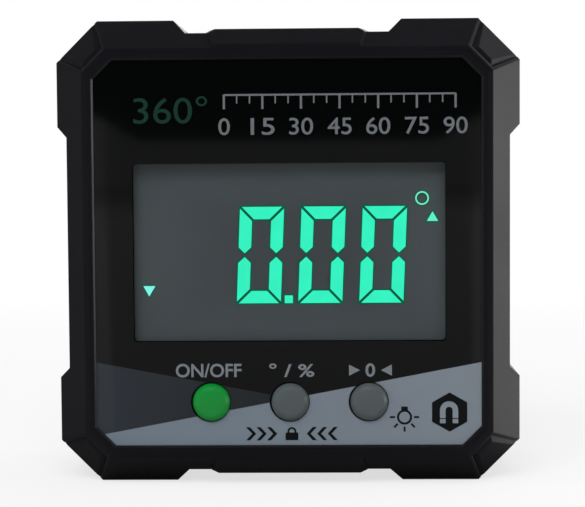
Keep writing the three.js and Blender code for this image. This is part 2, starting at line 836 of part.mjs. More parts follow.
function batteryCover() {
  const depths = [backWallFront, caseDepth];
  const plate = prism(
    roundedRect(coverHalfLength - coverGap, coverHalfHeight - coverGap, coverCornerRadius - coverGap),
    depths,
  );
  const ribHalf = bayHalfLength * (1 - coverRibEndShare);
  const ribOuter = bayHalfHeight - coverGap;
  const ribs = [1, -1].map((side) => {
    const edges = [side * ribOuter, side * (ribOuter - coverRibThickness)];
    return block(
      around(0, ribHalf),
      [backWallFront - coverRibHeight, backWallFront + sink],
      [Math.min(...edges), Math.max(...edges)],
    );
  });
  const grips = Array.from({ length: coverGripCount }, (unused, i) =>
    block(
      around(0, coverGripWidth / 2),
      [caseDepth - coverGripDepth, caseDepth + overrun],
      around(coverGripFromEdge + i * coverGripPitch - coverHalfHeight, coverGripHeight / 2),
    ),
  );
  return cut(
    joined(plate, coverEar(0, depths), ...ribs),
    bar(coverScrewHole, [backWallFront - overrun, caseDepth + overrun], 0, coverEarZ),
    bar(coverScrewHeadRadius + coverGap, [caseDepth - coverScrewHeadSink, caseDepth + overrun], 0, coverEarZ),
    ...grips,
  );
}

// Assembly
const gauge = new THREE.Group();
gauge.name = "angle_gauge";
const faceFrame = new THREE.Group();
faceFrame.name = "face_frame";
faceFrame.position.set(0, -(caseDepth + keyFront) / 2, halfHeight);
gauge.add(faceFrame);

const casing = new THREE.Group();
casing.add(piece("front_shell", frontShell(), satinBlack));
casing.add(piece("rear_shell", rearShell(), satinBlack));
casing.add(piece("face_panel", facePanel(), glossBlack));
magnetPlaces().forEach((place) => {
  const disc = sunkDisc(magnetRadius, place, magnetSink, magnetSink + magnetThickness);
  casing.add(piece(place.name, disc, nickel));
});
caseScrewPlaces.forEach(([x, z], i) => {
  const made = screw(
    caseScrewRadius,
    caseScrewLength,
    caseScrewHeadRadius,
    caseScrewHeadHeight,
    counterboreFloor,
    x,
    z,
  );
  casing.add(piece(`case_screw_${i + 1}`, made, blackScrew));
});

const electronics = new THREE.Group();
electronics.add(piece("display_glass", displayGlass(), displayGrey));
electronics.add(piece("display_frame", displayFrame(), mouldedGrey));
electronics.add(piece("backlight_panel", backlightPanel(), mouldedWhite));
electronics.add(piece("contact_strip", contactStrip(), softRubber));
electronics.add(piece("circuit_board", circuitBoard(), boardGreen));
const controller = chip(controllerSize, controllerThickness, controllerX, controllerZ);
electronics.add(piece("microcontroller", controller, chipBlack));
electronics.add(piece("tilt_sensor", chip(sensorSize, sensorThickness, sensorX, controllerZ), steel));
boardScrewPlaces.forEach(([x, z], i) => {
  const made = screw(
    boardScrewRadius,
    boardScrewLength,
    boardScrewHeadRadius,
    boardScrewHeadHeight,
    boardBack,
    x,
    z,
  );
  electronics.add(piece(`board_screw_${i + 1}`, made, steel));
});

const keys = new THREE.Group();
const keyNames = ["power", "mode", "zero"];
keyPlaces.forEach((x, i) => {
  keys.add(piece(`${keyNames[i]}_key`, keyCap(x), i === 0 ? greenKey : greyKey));
  keys.add(piece(`${keyNames[i]}_switch`, switchBody(x), chipBlack));
  keys.add(piece(`${keyNames[i]}_plunger`, switchPlunger(x), mouldedGrey));
});

// The upper cell points to the left and the lower one to the right; a spring meets the base of each.
const power = new THREE.Group();
const spring = wireTube(springPath(), springWire / 2, springWireSides);
console.log("least gap of a contact spring to itself, mm:", leastSpringGap(springPath()).toFixed(2));
const cellFromCentre = springLength / 2 - contactBossHeight / 2;
const plateFace = bayHalfLength - contactThickness - contactGap;
[
  { level: "upper", side: 1, turn: Math.PI },
  { level: "lower", side: -1, turn: 0 },
].forEach(({ level, side, turn }) => {
  const height = (side * cellPitch) / 2;
  const battery = piece(`${level}_battery`, cell(), cellSleeve);
  battery.position.set(-side * cellFromCentre, cellDepth, height);
  battery.rotation.z = turn;
  const coil = piece(`${level}_spring`, spring, steel);
  coil.position.set(side * plateFace, cellDepth, height);
  coil.rotation.z = side > 0 ? Math.PI : 0;
  power.add(battery, coil);
});
const upperCell = cellPitch / 2;
const lowerCell = -cellPitch / 2;
power.add(piece("positive_terminal", contactPlate(-1, [upperCell], upperCell, upperCell), steel));
power.add(piece("negative_terminal", contactPlate(-1, [lowerCell], null, lowerCell), steel));
power.add(piece("bridge_contact", contactPlate(1, [upperCell, lowerCell], lowerCell, null), steel));

const cover = new THREE.Group();
cover.add(piece("battery_cover", batteryCover(), satinBlack));
const coverScrew = screw(
  coverScrewRadius,
  coverScrewLength,
  coverScrewHeadRadius,
  coverScrewHeadHeight,
  caseDepth - coverScrewHeadSink,
  0,
  coverEarZ,
);
cover.add(piece("cover_screw", coverScrew, blackScrew));

faceFrame.add(casing, electronics, keys, power, cover);

export default gauge;
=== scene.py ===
# Looks of the digital angle gauge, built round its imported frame.
import math
from functools import partialmethod

import bmesh
import bpy
from mathutils import Matrix, Vector


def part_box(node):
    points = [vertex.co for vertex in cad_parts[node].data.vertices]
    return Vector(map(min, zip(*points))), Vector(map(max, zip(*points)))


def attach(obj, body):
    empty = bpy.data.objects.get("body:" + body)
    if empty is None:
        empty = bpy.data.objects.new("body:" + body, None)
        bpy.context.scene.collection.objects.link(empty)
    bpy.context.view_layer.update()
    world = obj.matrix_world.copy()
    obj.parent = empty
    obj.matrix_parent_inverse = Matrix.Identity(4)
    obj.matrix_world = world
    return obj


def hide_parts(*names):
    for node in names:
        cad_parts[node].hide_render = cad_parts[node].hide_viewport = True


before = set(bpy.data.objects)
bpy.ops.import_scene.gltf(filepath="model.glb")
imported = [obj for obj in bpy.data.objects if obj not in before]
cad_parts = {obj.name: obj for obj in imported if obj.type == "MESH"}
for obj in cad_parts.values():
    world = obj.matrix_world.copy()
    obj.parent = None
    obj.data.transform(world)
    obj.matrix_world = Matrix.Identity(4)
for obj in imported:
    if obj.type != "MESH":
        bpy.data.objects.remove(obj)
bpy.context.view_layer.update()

# Units and the face's own places: x to the right, depth behind the rim, z from mid height, in millimetres
MM = 0.001
CASE_LOW, CASE_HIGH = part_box("front_shell")
RIM_Y = CASE_LOW[1]
MID_Z = (CASE_LOW[2] + CASE_HIGH[2]) / 2
TO_WORLD = Matrix.Translation((0, RIM_Y, MID_Z)) @ Matrix.Scale(MM, 4)
QUARTER_TURN = math.pi / 2


def depth_of(node, end):
    """Depth in millimetres of the front (0) or back (1) of a CAD node behind the rim."""
    return (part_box(node)[end][1] - RIM_Y) / MM


def middle_of(node):
    """Middle of a CAD node, in the face's millimetres."""
    low, high = (Vector(corner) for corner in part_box(node))
    centre = (low + high) / 2
    return Vector((centre.x, centre.y - RIM_Y, centre.z - MID_Z)) / MM


def size_of(node):
    """Width, depth and height of a CAD node in millimetres."""
    low, high = (Vector(corner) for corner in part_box(node))
    return (high - low) / MM


# Thickness of the print and of a lit segment, and the front and back depths of what is printed or lit
INK = 0.02
LIT = 0.03
PANEL_FRONT = depth_of("face_panel", 0)
GLASS_FRONT = depth_of("display_glass", 0)
PRINT = (PANEL_FRONT - INK, PANEL_FRONT + INK)
OVERPRINT = (PRINT[0] - INK / 4, PRINT[1])
SECOND_PRINT = (PRINT[0] - INK, PRINT[0] + INK / 2)
ON_GLASS = (GLASS_FRONT - LIT, GLASS_FRONT)

# Panel print
WINDOW = ((-19.85, -11.33), (20.2, 11.48))
WINDOW_CORNER = 0.45
BAND_CROSSING = (0.37, -18.7)
BAND_SLOPE = 0.189
SOFT_EDGE = 0.03


# Shader maths
class Wire:
    """The output of a shader node, on which arithmetic adds Math nodes."""

    def __init__(self, finish, socket):
        self.finish = finish
        self.socket = socket

    def maths(self, operation, *values, clamp=False):
        """A Math node on this and other values."""
        settings = {"operation": operation, "use_clamp": clamp}
        return self.finish.node("ShaderNodeMath", settings, dict(enumerate((self, *values))))

    def reflected(self, operation, first):
        """A Math node on a number and this."""
        return self.finish.node("ShaderNodeMath", {"operation": operation}, {0: first, 1: self})

    __add__ = partialmethod(maths, "ADD")
    __sub__ = partialmethod(maths, "SUBTRACT")
    __mul__ = partialmethod(maths, "MULTIPLY")
    __truediv__ = partialmethod(maths, "DIVIDE")
    __pow__ = partialmethod(maths, "POWER")
    __abs__ = partialmethod(maths, "ABSOLUTE")
    __radd__ = partialmethod(reflected, "ADD")
    __rsub__ = partialmethod(reflected, "SUBTRACT")
    __rmul__ = partialmethod(reflected, "MULTIPLY")
    most = partialmethod(maths, "MAXIMUM")
    folded = partialmethod(maths, "PINGPONG")

    def rise(self, start, width):
        """0 below start, 1 above start + width."""
        return (self - start).maths("MULTIPLY", 1 / width, clamp=True)

    def past(self, border):
        """0 before a border and 1 past it, with a soft edge."""
        return self.rise(border - SOFT_EDGE, 2 * SOFT_EDGE)


class Finish:
    """A material, or the world, wired up by expressions."""

    def __init__(self, name, holders=bpy.data.materials, output="ShaderNodeOutputMaterial"):
        self.owner = holders.new(name)
        self.owner.use_nodes = True
        self.tree = self.owner.node_tree
        self.tree.nodes.clear()
        self.output = self.tree.nodes.new(output)

    def feed(self, socket, value):
        """Links a Wire to a socket, or sets a constant on it."""
        if isinstance(value, Wire):
            self.tree.links.new(value.socket, socket)
        else:
            socket.default_value = value

    def node(self, kind, settings=None, values=None, out=0):
        """One output of a new node, made with its settings and with values or links for its sockets."""
        made = self.tree.nodes.new(kind)
        for key, value in (settings or {}).items():
            setattr(made, key, value)
        for key, value in (values or {}).items():
            self.feed(made.inputs[key], value)
        return Wire(self, made.outputs[out])

    def coords(self):
        """Object coordinates, in metres."""
        return self.node("ShaderNodeTexCoord", out=3)

    def places(self):
        """x, depth and z of a point in the face's millimetres."""
        coords = self.coords()
        parts = [self.node("ShaderNodeSeparateXYZ", None, {0: coords}, out=axis) for axis in range(3)]
        return parts[0] / MM, (parts[1] - RIM_Y) / MM, (parts[2] - MID_Z) / MM

    def noise(self, size, detail=2.0, roughness=0.5, stretch=(1, 1, 1)):
        """Noise with features of a size in millimetres, from 0 to 1."""
        vector = self.node("ShaderNodeMapping", None, {"Vector": self.coords(), "Scale": stretch})
        values = {"Vector": vector, "Scale": 1 / (size * MM), "Detail": detail, "Roughness": roughness}
        return self.node("ShaderNodeTexNoise", None, values)

    def mix(self, factor, first, second):
        """A colour between two."""
        return self.node("ShaderNodeMix", {"data_type": "RGBA"}, {0: factor, 6: first, 7: second}, out=2)

    def mottled(self, factor, colour, share):
        """A colour that runs down to a share of itself."""
        return self.mix(factor, tint(*colour), tint(*(value * share for value in colour)))

    def rounded(self, radius):
        """Normals as if each edge were rounded by a radius in millimetres."""
        return self.node("ShaderNodeBevel", {"samples": 6}, {"Radius": radius * MM})

    def edges(self, radius):
        """1 along the edges of a shape and 0 away from them."""
        true_normal = self.node("ShaderNodeNewGeometry", out=3)
        values = {0: self.rounded(radius), 1: true_normal}
        likeness = self.node("ShaderNodeVectorMath", {"operation": "DOT_PRODUCT"}, values, out=1)
        return (1 - likeness).rise(0.01, 0.25)

    def specks(self, spacing, size):
        """Sparse round dust specks: 1 in a speck and 0 beside it."""
        values = {"Vector": self.coords(), "Scale": 1 / (spacing * MM)}
        distance = self.node("ShaderNodeTexVoronoi", None, values)
        chance = self.node("ShaderNodeTexVoronoi", None, values, out=1)
        pick = self.node("ShaderNodeSeparateColor", None, {0: chance})
        return (1 - (distance * (spacing / size)).rise(0.6, 0.5)) * pick.rise(0.72, 0.02)

    def bump(self, height, distance, strength, normal=None):
        """Normals of a relief with a depth in millimetres."""
        values = {"Height": height, "Distance": distance * MM, "Strength": strength}
        if normal:
            values["Normal"] = normal
        return self.node("ShaderNodeBump", None, values)

    def seen(self):
        """1 for rays from the camera, from gloss or through glass, and 0 for others."""
        camera, glossy, through = (self.node("ShaderNodeLightPath", out=out) for out in (0, 3, 6))
        return camera.most(through).most(glossy)

    def ended(self, shader):
        """The finished material or world, with its shader."""
        self.tree.links.new(shader.socket, self.output.inputs["Surface"])
        return self.owner

    def surface(self, values):
        """The finished material, with values for its Principled shader."""
        return self.ended(self.node("ShaderNodeBsdfPrincipled", None, values))


def tint(red, green, blue):
    """A colour written as it should show, from 0 to 255, for a shader."""

    def linear(value):
        share = value / 255
        return share / 12.92 if share <= 0.04045 else ((share + 0.055) / 1.055) ** 2.4

    return tuple(linear(value) for value in (red, green, blue)) + (1,)


def grey(shade):
    """A grey as it should show, from 0 to 255."""
    return tint(shade, shade, shade)


# Finishes
def case_plastic(name, rounding=0.25, rough=0.38, gloss=0.3):
    """Fine-grained black plastic with a little dust, its edges painted paler, partly as wear and partly as
    a painted highlight.
    """
    f = Finish(name)
    grain = f.noise(0.32, 3.0, 0.6)
    mottle = f.noise(9.0, 3.0)
    worn_and_highlit_edges = f.edges(0.3)
    base = f.mix(mottle, tint(8, 8, 13), tint(13, 13, 19))
    # Edges painted paler: partly wear, partly a painted highlight where light catches them.
    base = f.mix(worn_and_highlit_edges * 0.14, base, tint(46, 46, 50))
    base = f.mix(f.specks(7.0, 0.22) * 0.5, base, tint(150, 150, 148))
    return f.surface({
        "Base Color": base,
        "Roughness": rough + mottle * 0.1 + grain * 0.08 - worn_and_highlit_edges * 0.06,
        "Specular IOR Level": gloss,
        "Normal": f.bump(grain, 0.012, 0.5, f.rounded(rounding) if rounding else None),
    })


def panel_print():
    """Clear gloss over black print, with two crossed bands below and a clear display window."""
    f = Finish("printed_gloss_panel")
    x, _, z = f.places()
    sides = []
    for place, low, high in zip((x, z), *WINDOW):
        half = (high - low) / 2
        sides.append((abs(place - (high + low) / 2) - (half - WINDOW_CORNER)).most(0))
    across, along = sides
    corner = (across * across + along * along) ** 0.5
    window = 1 - corner.past(WINDOW_CORNER)
    ahead = (x - BAND_CROSSING[0]) * BAND_SLOPE
    below = BAND_CROSSING[1] - z
    pale = (below + ahead).past(0)
    dark = (below - ahead).past(0)
    dark_band = f.mix(x.rise(-25, 25), tint(38, 42, 49), tint(25, 29, 33))
    pale_band = f.mix(x.rise(-24, 48), tint(101, 113, 124), tint(112, 120, 129))
    colour = f.mix(dark, tint(1, 2, 2), dark_band)
    colour = f.mix(pale, colour, pale_band)
    colour = f.mix(f.noise(0.5) * 0.05, colour, grey(0))
    colour = f.mix(f.specks(5.5, 0.2) * 0.7, colour, tint(165, 165, 160))
    smear = f.noise(14.0, 4.0, 0.6)
    return f.surface({
        "Base Color": colour,
        "Roughness": 0.3 + smear * 0.15,
        "Specular IOR Level": 0.1,
        "Coat Weight": 1.0,
        "Coat Roughness": 0.04,
        "Coat IOR": 1.49,
        "Alpha": 1 - window * 0.9,
        "Normal": f.bump(smear, 0.004, 0.3, f.rounded(0.12)),
    })


def display_film():
    """Grey film of the display, clouded; a little greener and paler at its left, partly its own tint and
    partly painted light, and paler along its border with painted light that lifts the frame's shade.
    """
    f = Finish("display_film")
    x, _, z = f.places()
    cloud = f.noise(16.0, 3.0, 0.55)
    weave = f.noise(0.18, 1.0)
    # Greener and paler at the left: partly the film's own tint, partly painted light against the shade
    # there.
    colour = f.mix(x.rise(-22, 30), tint(68, 77, 80), tint(66, 72, 76))
    colour = f.mix(cloud * 0.5, colour, tint(66, 73, 76))
    # Painted light along the border, lifting the shade that the panel's frame casts on the film.
    border = (abs(x) * 0.05).most(abs(z) * 0.09).rise(0.4, 0.6)
    colour = f.mix(border * 0.8, colour, tint(80, 89, 92))
    colour = f.mix((weave - 0.5) * 0.08, colour, tint(90, 96, 98))
    return f.surface({
        "Base Color": colour,
        "Roughness": 0.45,
        "Specular IOR Level": 0.2,
        "Coat Weight": 0.8,
        "Coat Roughness": 0.05,
        "Normal": f.bump(cloud, 0.003, 0.3),
    })


def glow(name, colour, gain=1.22):
    """A lit display segment, slightly uneven."""
    f = Finish(name)
    ripple = f.noise(2.2)
    return f.surface({
        "Base Color": tint(*(value * 0.2 for value in colour)),
        "Roughness": 0.4 + ripple * 0.1,
        "Specular IOR Level": 0.1,
        "Emission Color": f.mottled(ripple, colour, 0.93),
        "Emission Strength": gain,
    })


def ink(name, colour):
    """Slightly uneven printing ink."""
    f = Finish(name)
    body = f.noise(0.35, 3.0)
    return f.surface({
        "Base Color": f.mottled(body, colour, 0.92),
        "Roughness": 0.4 + body * 0.12,
        "Specular IOR Level": 0.2,
        "Coat Weight": 0.2,
        "Coat Roughness": 0.1,
        "Normal": f.bump(body, 0.002, 0.4),
    })


def key_plastic(name, colour):
    """Fine-grained plastic of a key, with a little dust."""
    f = Finish(name)
    grain = f.noise(0.16, 3.0, 0.7)
    mottle = f.noise(1.8, 3.0)
    shown = f.mix(f.specks(2.6, 0.1) * 0.35, f.mottled(mottle, colour, 0.93), tint(190, 190, 186))
    return f.surface({
        "Base Color": shown,
        "Roughness": 0.3 + mottle * 0.1,
        "Specular IOR Level": 0.5,
        "Normal": f.bump(grain, 0.012, 0.45),
    })


def plain_plastic(name, colour, rough=0.5, size=0.3):
    """Plain moulded plastic, rubber or ceramic with a grain of a size in millimetres."""
    f = Finish(name)
    grain = f.noise(size, 3.0)
    return f.surface({
        "Base Color": f.mottled(grain, colour, 0.88),
        "Roughness": rough + grain * 0.12,
        "Normal": f.bump(grain, 0.01, 0.5, f.rounded(0.08)),
    })


def metal(name, colour, rough):
    """Metal or plating with fine marks and a light tarnish."""
    f = Finish(name)
    marks = f.noise(0.6, 4.0, 0.65)
    tarnish = f.noise(2.5, 3.0)
    return f.surface({
        "Base Color": f.mottled(tarnish, colour, 0.82),
        "Metallic": 1.0,
        "Roughness": rough + marks * 0.16 + tarnish * 0.08,
        "Normal": f.bump(marks, 0.004, 0.5),
    })


def board_mask():
    """Green solder mask over a grid of copper tracks."""
    f = Finish("board_green_mask")
    x, _, z = f.places()
    bend = f.noise(7.0, 1.0) * 3
    tracks = (x + bend).folded(0.6).rise(0.36, 0.06) * (z * 0.16).folded(0.5).rise(0.1, 0.05)
    cross = (z - bend).folded(0.8).rise(0.56, 0.06) * (x * 0.14).folded(0.5).rise(0.22, 0.05)
    copper = tracks.most(cross)
    colour = f.mix(copper, tint(26, 78, 48), tint(44, 112, 66))
    fibre = f.noise(0.4, stretch=(1, 1, 6))
    colour = f.mix(fibre * 0.3, colour, tint(20, 60, 36))
    return f.surface({
        "Base Color": colour,
        "Roughness": 0.32 + fibre * 0.12,
        "Coat Weight": 0.4,
        "Coat Roughness": 0.15,
        "Normal": f.bump(copper, 0.03, 0.6),
    })


def zebra_rubber():
    """Soft contact strip with fine conductive layers across it."""
    f = Finish("zebra_rubber")
    layers = f.places()[0].folded(0.09).rise(0.04, 0.01)
    return f.surface({
        "Base Color": f.mix(layers, tint(196, 190, 178), tint(38, 38, 40)),
        "Roughness": 0.7 + f.noise(0.4) * 0.15,
        "Normal": f.bump(layers, 0.01, 0.4),
    })


def cell_sleeve():
    """Lacquered sleeve of a dry cell: a dark body, a bright collar by the nub and two pale rules."""
    f = Finish("cell_sleeve_lacquer")
    x, _, z = f.places()
    upper = z.rise(-0.1, 0.2)
    towards_nub = x - 2 * x * upper
    collar = towards_nub.rise(11.2, 0.05)
    by_collar = 1 - abs(towards_nub - 10.6).rise(0.2, 0.04)
    rules = by_collar.most(1 - abs(towards_nub + 19.4).rise(0.25, 0.04))
    colour = f.mix(collar, tint(38, 44, 52), tint(168, 122, 58))
    colour = f.mix(rules, colour, tint(196, 198, 196))
    colour = f.mix(f.noise(0.2) * 0.2, colour, tint(20, 22, 26))
    scuffs = f.noise(1.4, 4.0, 0.6, (0.3, 1, 1))
    return f.surface({
        "Base Color": colour,
        "Metallic": 0.45,
        "Roughness": 0.3 + scuffs * 0.16,
        "Coat Weight": 0.7,
        "Coat Roughness": 0.12,
        "Normal": f.bump(scuffs, 0.004, 0.4),
    })


CASE_PLASTIC = case_plastic("satin_case_plastic")
EDGE_PLASTIC = case_plastic("sharp_edge_plastic", rounding=0, rough=0.3, gloss=0.5)
PANEL = panel_print()
FILM = display_film()
LIT_SEGMENT = glow("lit_segment", (52, 248, 197))
SEGMENT_EDGE = glow("segment_edge", (0, 98, 66), gain=1.0)
LIT_SIGN = glow("lit_sign", (133, 250, 235))
LIT_GREEN_SIGN = glow("lit_green_sign", (98, 246, 206))
LIT_RING = glow("lit_ring", (128, 236, 203))
GREY_INK = ink("grey_ink", (98, 102, 107))
CAPTION_INK = ink("caption_ink", (109, 114, 120))
GREEN_INK = ink("dark_green_ink", (14, 50, 40))
BLACK_INK = ink("black_ink", (6, 10, 12))
PALE_INK = ink("pale_ink", (118, 126, 135))
GREEN_KEY = key_plastic("green_key_plastic", (4, 130, 47))
GREY_KEY = key_plastic("grey_key_plastic", (75, 82, 83))
FRAME_PLASTIC = plain_plastic("frame_plastic", (58, 59, 61))
WHITE_PLASTIC = plain_plastic("backlight_plastic", (222, 224, 219), 0.4)
CHIP_EPOXY = plain_plastic("chip_epoxy", (26, 26, 28), 0.5, 0.12)
CERAMIC = plain_plastic("ceramic_body", (158, 130, 96), 0.45, 0.1)
SEAL_RUBBER = plain_plastic("seal_rubber", (20, 20, 22), 0.6, 0.2)
BOARD = board_mask()
ZEBRA = zebra_rubber()
SLEEVE = cell_sleeve()
NICKEL = metal("nickel_plate", (190, 188, 180), 0.2)
STEEL = metal("bright_steel", (178, 180, 182), 0.26)
BLACK_STEEL = metal("blackened_steel", (56, 57, 60), 0.34)
GOLD = metal("gold_flash", (212, 172, 92), 0.24)
SPRING_STEEL = metal("spring_steel", (182, 184, 186), 0.22)

KEYS = ("power", "mode", "zero")
CAD_FINISHES = [
    (CASE_PLASTIC, "front_shell", "rear_shell", "battery_cover"),
    (PANEL, "face_panel"),
    (FILM, "display_glass"),
    (FRAME_PLASTIC, "display_frame", *(f"{key}_plunger" for key in KEYS)),
    (WHITE_PLASTIC, "backlight_panel"),
    (ZEBRA, "contact_strip"),
    (BOARD, "circuit_board"),
    (CHIP_EPOXY, "microcontroller", *(f"{key}_switch" for key in KEYS)),
    (STEEL, "tilt_sensor"),
    (SPRING_STEEL, "positive_terminal", "negative_terminal", "bridge_contact"),
]
for finish, *nodes in CAD_FINISHES:
    for node in nodes:
        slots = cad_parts[node].data.materials
        slots.clear()
        slots.append(finish)

# How near points are made one, in a piece and in lettering; lettering's shortest edge and curve steps
SAME_POINT = 0.0005
SAME_LETTER_POINT = 0.002
LETTER_SLIVER = 0.004
LETTER_STEPS = 6


# Shapes, all made in the face's millimetres
def placed(name, data):
    """A new object in the scene."""
    made = bpy.data.objects.new(name, data)
    bpy.context.scene.collection.objects.link(made)
    return made


def mesh_from(name, shape):
    """A mesh that takes over a bmesh."""
    mesh = bpy.data.meshes.new(name)
    shape.to_mesh(mesh)
    shape.free()
    return mesh


def settled(made):
    """The mesh of an object as its curve or its modifiers shape it."""
    graph = bpy.context.evaluated_depsgraph_get()
    return bpy.data.meshes.new_from_object(made.evaluated_get(graph))


def shape_from(curve):
    """A bmesh that takes over a curve or text."""
    holder = placed("curve", curve)
    mesh = settled(holder)
    bpy.data.objects.remove(holder)
    bpy.data.curves.remove(curve)
    shape = bmesh.new()
    shape.from_mesh(mesh)
    bpy.data.meshes.remove(mesh)
    return shape


def piece(name, shape, finishes, body="case", sharp=32, node=None):
    """Turns a bmesh into a finished piece that rides on a body, and may replace a CAD node."""
    bmesh.ops.remove_doubles(shape, verts=shape.verts, dist=SAME_POINT)
    bmesh.ops.recalc_face_normals(shape, faces=shape.faces)
    shape.transform(TO_WORLD)
    mesh = mesh_from(name, shape)
    mesh.shade_smooth()
    mesh.set_sharp_from_angle(angle=math.radians(sharp))
    for finish in finishes:
        mesh.materials.append(finish)
    made = placed(name, mesh)
    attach(made, body)
    if node:
        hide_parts(node)
    return made


def moved(shape, parts, step):
    """Moves the vertices among some parts of a shape."""
    verts = [part for part in parts if isinstance(part, bmesh.types.BMVert)]
    bmesh.ops.translate(shape, verts=verts, vec=step)


def set_out(shape, size, centre):
    """Scales a unit shape to a size and moves it to its centre."""
    bmesh.ops.scale(shape, verts=shape.verts, vec=size)
    moved(shape, shape.verts, centre)


def revolved(profile, steps=64, centre=(0, 0)):
    """A body turned about the depth axis from a profile of radius and depth, with its centre in x and z."""
    shape = bmesh.new()
    chain = [shape.verts.new((radius, depth, 0)) for radius, depth in profile]
    edges = [shape.edges.new(pair) for pair in zip(chain, chain[1:])]
    turn = {"axis": (0, 1, 0), "cent": (0, 0, 0), "angle": 2 * math.pi, "steps": steps}
    bmesh.ops.spin(shape, geom=chain + edges, use_merge=True, use_duplicate=False, **turn)
    moved(shape, shape.verts, (centre[0], 0, centre[1]))
    return shape


def ring(centre, outer, inner, front, back, steps=40):
    """A flat ring that faces the front."""
    profile = [(inner, front), (outer, front), (outer, back), (inner, back), (inner, front)]
    return revolved(profile, steps, centre)


def thickened(shape, depth):
    """Carries the flat faces of a shape back by a depth, into closed plates."""
    moved(shape, bmesh.ops.extrude_face_region(shape, geom=shape.faces[:])["geom"], (0, depth, 0))
    return shape


def flat(outlines, front):
    """Flat faces from outlines in x and z."""
    shape = bmesh.new()
    for outline in outlines:
        shape.faces.new([shape.verts.new((x, front, z)) for x, z in outline])
    shape.normal_update()
    return shape


def plates(outlines, front, back, border=0.0):
    """Flat plates from outlines in x and z; with a border, the rim of each takes the second finish."""
    shape = flat(outlines, front)
    if border:
        faces = shape.faces[:]
        rims = bmesh.ops.inset_individual(shape, faces=faces, thickness=border, use_even_offset=True)
        for face in rims["faces"]:
            face.material_index = 1
    return thickened(shape, back - front)


def inset(shape, middle, width):
    """Moves the edge of some faces inwards by a width, and gives the faces that this leaves round them."""
    options = {"use_boundary": True, "use_even_offset": True}
    return bmesh.ops.inset_region(shape, faces=middle, thickness=width, **options)["faces"]


def hoop(centre, outer, inner, drop, front, back):
    """A flat half ring over two straight legs."""
    shape = bmesh.new()
    ends = [shape.verts.new((centre[0] + radius, front, centre[1])) for radius in (inner, outer)]
    foot = shape.edges.new(ends)
    turn = {"axis": (0, -1, 0), "cent": (centre[0], front, centre[1]), "angle": math.pi, "steps": 24}
    arc = bmesh.ops.spin(shape, geom=[*ends, foot], use_merge=False, use_duplicate=False, **turn)
    for edge in [foot] + [part for part in arc["geom_last"] if isinstance(part, bmesh.types.BMEdge)]:
        moved(shape, bmesh.ops.extrude_edge_only(shape, edges=[edge])["geom"], (0, 0, -drop))
    bmesh.ops.recalc_face_normals(shape, faces=shape.faces)
    return thickened(shape, back - front)


def joined(*shapes):
    """One bmesh that holds several."""
    whole = bmesh.new()
    for shape in shapes:
        spare = mesh_from("spare", shape)
        whole.from_mesh(spare)
        bpy.data.meshes.remove(spare)
    return whole


def lettering(words, low, high, weight=0.0):
    """Printed characters that fill a box from low to high in x and z."""
    curve = bpy.data.curves.new("letters", "FONT")
    curve.body = words
    curve.offset = weight
    curve.resolution_u = LETTER_STEPS
    shape = shape_from(curve)
    bmesh.ops.remove_doubles(shape, verts=shape.verts, dist=SAME_LETTER_POINT)
    bmesh.ops.dissolve_degenerate(shape, dist=LETTER_SLIVER, edges=shape.edges)
    front, back = PRINT
    corners = [vert.co for vert in shape.verts]
    left, right = min(c.x for c in corners), max(c.x for c in corners)
    foot, head = min(c.y for c in corners), max(c.y for c in corners)
    spread = ((high[0] - low[0]) / (right - left), 1, (high[1] - low[1]) / (head - foot), 1)
    upright = Matrix.Rotation(QUARTER_TURN, 4, "X") @ Matrix.Translation((-left, -foot, 0))
    shape.transform(Matrix.Translation((low[0], front, low[1])) @ Matrix.Diagonal(spread) @ upright)
    return thickened(shape, back - front)


def bar(low, high):
    """A box outline in x and z."""
    return [(low[0], low[1]), (high[0], low[1]), (high[0], high[1]), (low[0], high[1])]


# Display
DIGIT_CENTRES = (-3.57, 4.36, 12.23)
DIGIT_Z = -0.33
DIGIT_HALF_WIDTH = 3.0
DIGIT_HALF_HEIGHT = 6.39
STROKE = 1.93
SHOULDER = 0.93
TIP = 0.015
LEAN = 0.042
PARTED_SHARE = 0.996
SEGMENT_BORDER = 0.155
DECIMAL_POINT = ((-0.64, -6.72), (0.74, -5.4))
UP_ARROW = [(17.57, 3.78), (19.59, 3.78), (18.58, 5.5)]
DOWN_ARROW = [(-19.02, -4.1), (-18.0, -5.92), (-16.91, -4.1)]
DEGREE_CENTRE = (17.25, 6.9)
DEGREE_RINGS = {
    "degree_ring": (0.89, 0.68, LIT_RING),
    "degree_ring_outer_border": (1.05, 0.89, SEGMENT_EDGE),
    "degree_ring_inner_border": (0.68, 0.5, SEGMENT_EDGE),
}


def zero_digit(centre):
    """The six lit segments of a leaning zero, slightly parted."""
    w, h, s = DIGIT_HALF_WIDTH, DIGIT_HALF_HEIGHT, STROKE
    top = [(-w, h), (w, h), (w - s, h - s), (s - w, h - s)]
    side = [(-w, h), (s - w, h - s), (s - w, SHOULDER), (s / 2 - w, TIP), (-w, SHOULDER)]
    halves = [top, side, [(-x, z) for x, z in side]]
    outlines = halves + [[(x, -z) for x, z in outline] for outline in halves]
    parted = []
    for corners in ([Vector(corner) for corner in outline] for outline in outlines):
        middle = sum(corners, Vector((0, 0))) / len(corners)
        places = [middle + (corner - middle) * PARTED_SHARE for corner in corners]
        parted.append([(centre + x + z * LEAN, DIGIT_Z + z) for x, z in places])
    return parted


def display():
    """Lit digits, arrows and degree ring, on the front of the glass."""
    digits = [outline for centre in DIGIT_CENTRES for outline in zero_digit(centre)]
    lit = {
        "lit_digits": (digits + [bar(*DECIMAL_POINT)], LIT_SEGMENT),
        "lit_up_arrow": ([UP_ARROW], LIT_GREEN_SIGN),
        "lit_down_arrow": ([DOWN_ARROW], LIT_SIGN),
    }
    for name, (outlines, finish) in lit.items():
        shape = plates(outlines, *ON_GLASS, SEGMENT_BORDER)
        piece(name, shape, [finish, SEGMENT_EDGE])
    for name, (outer, inner, finish) in DEGREE_RINGS.items():
        shape = ring(DEGREE_CENTRE, outer, inner, *ON_GLASS)
        piece(name, shape, [finish])


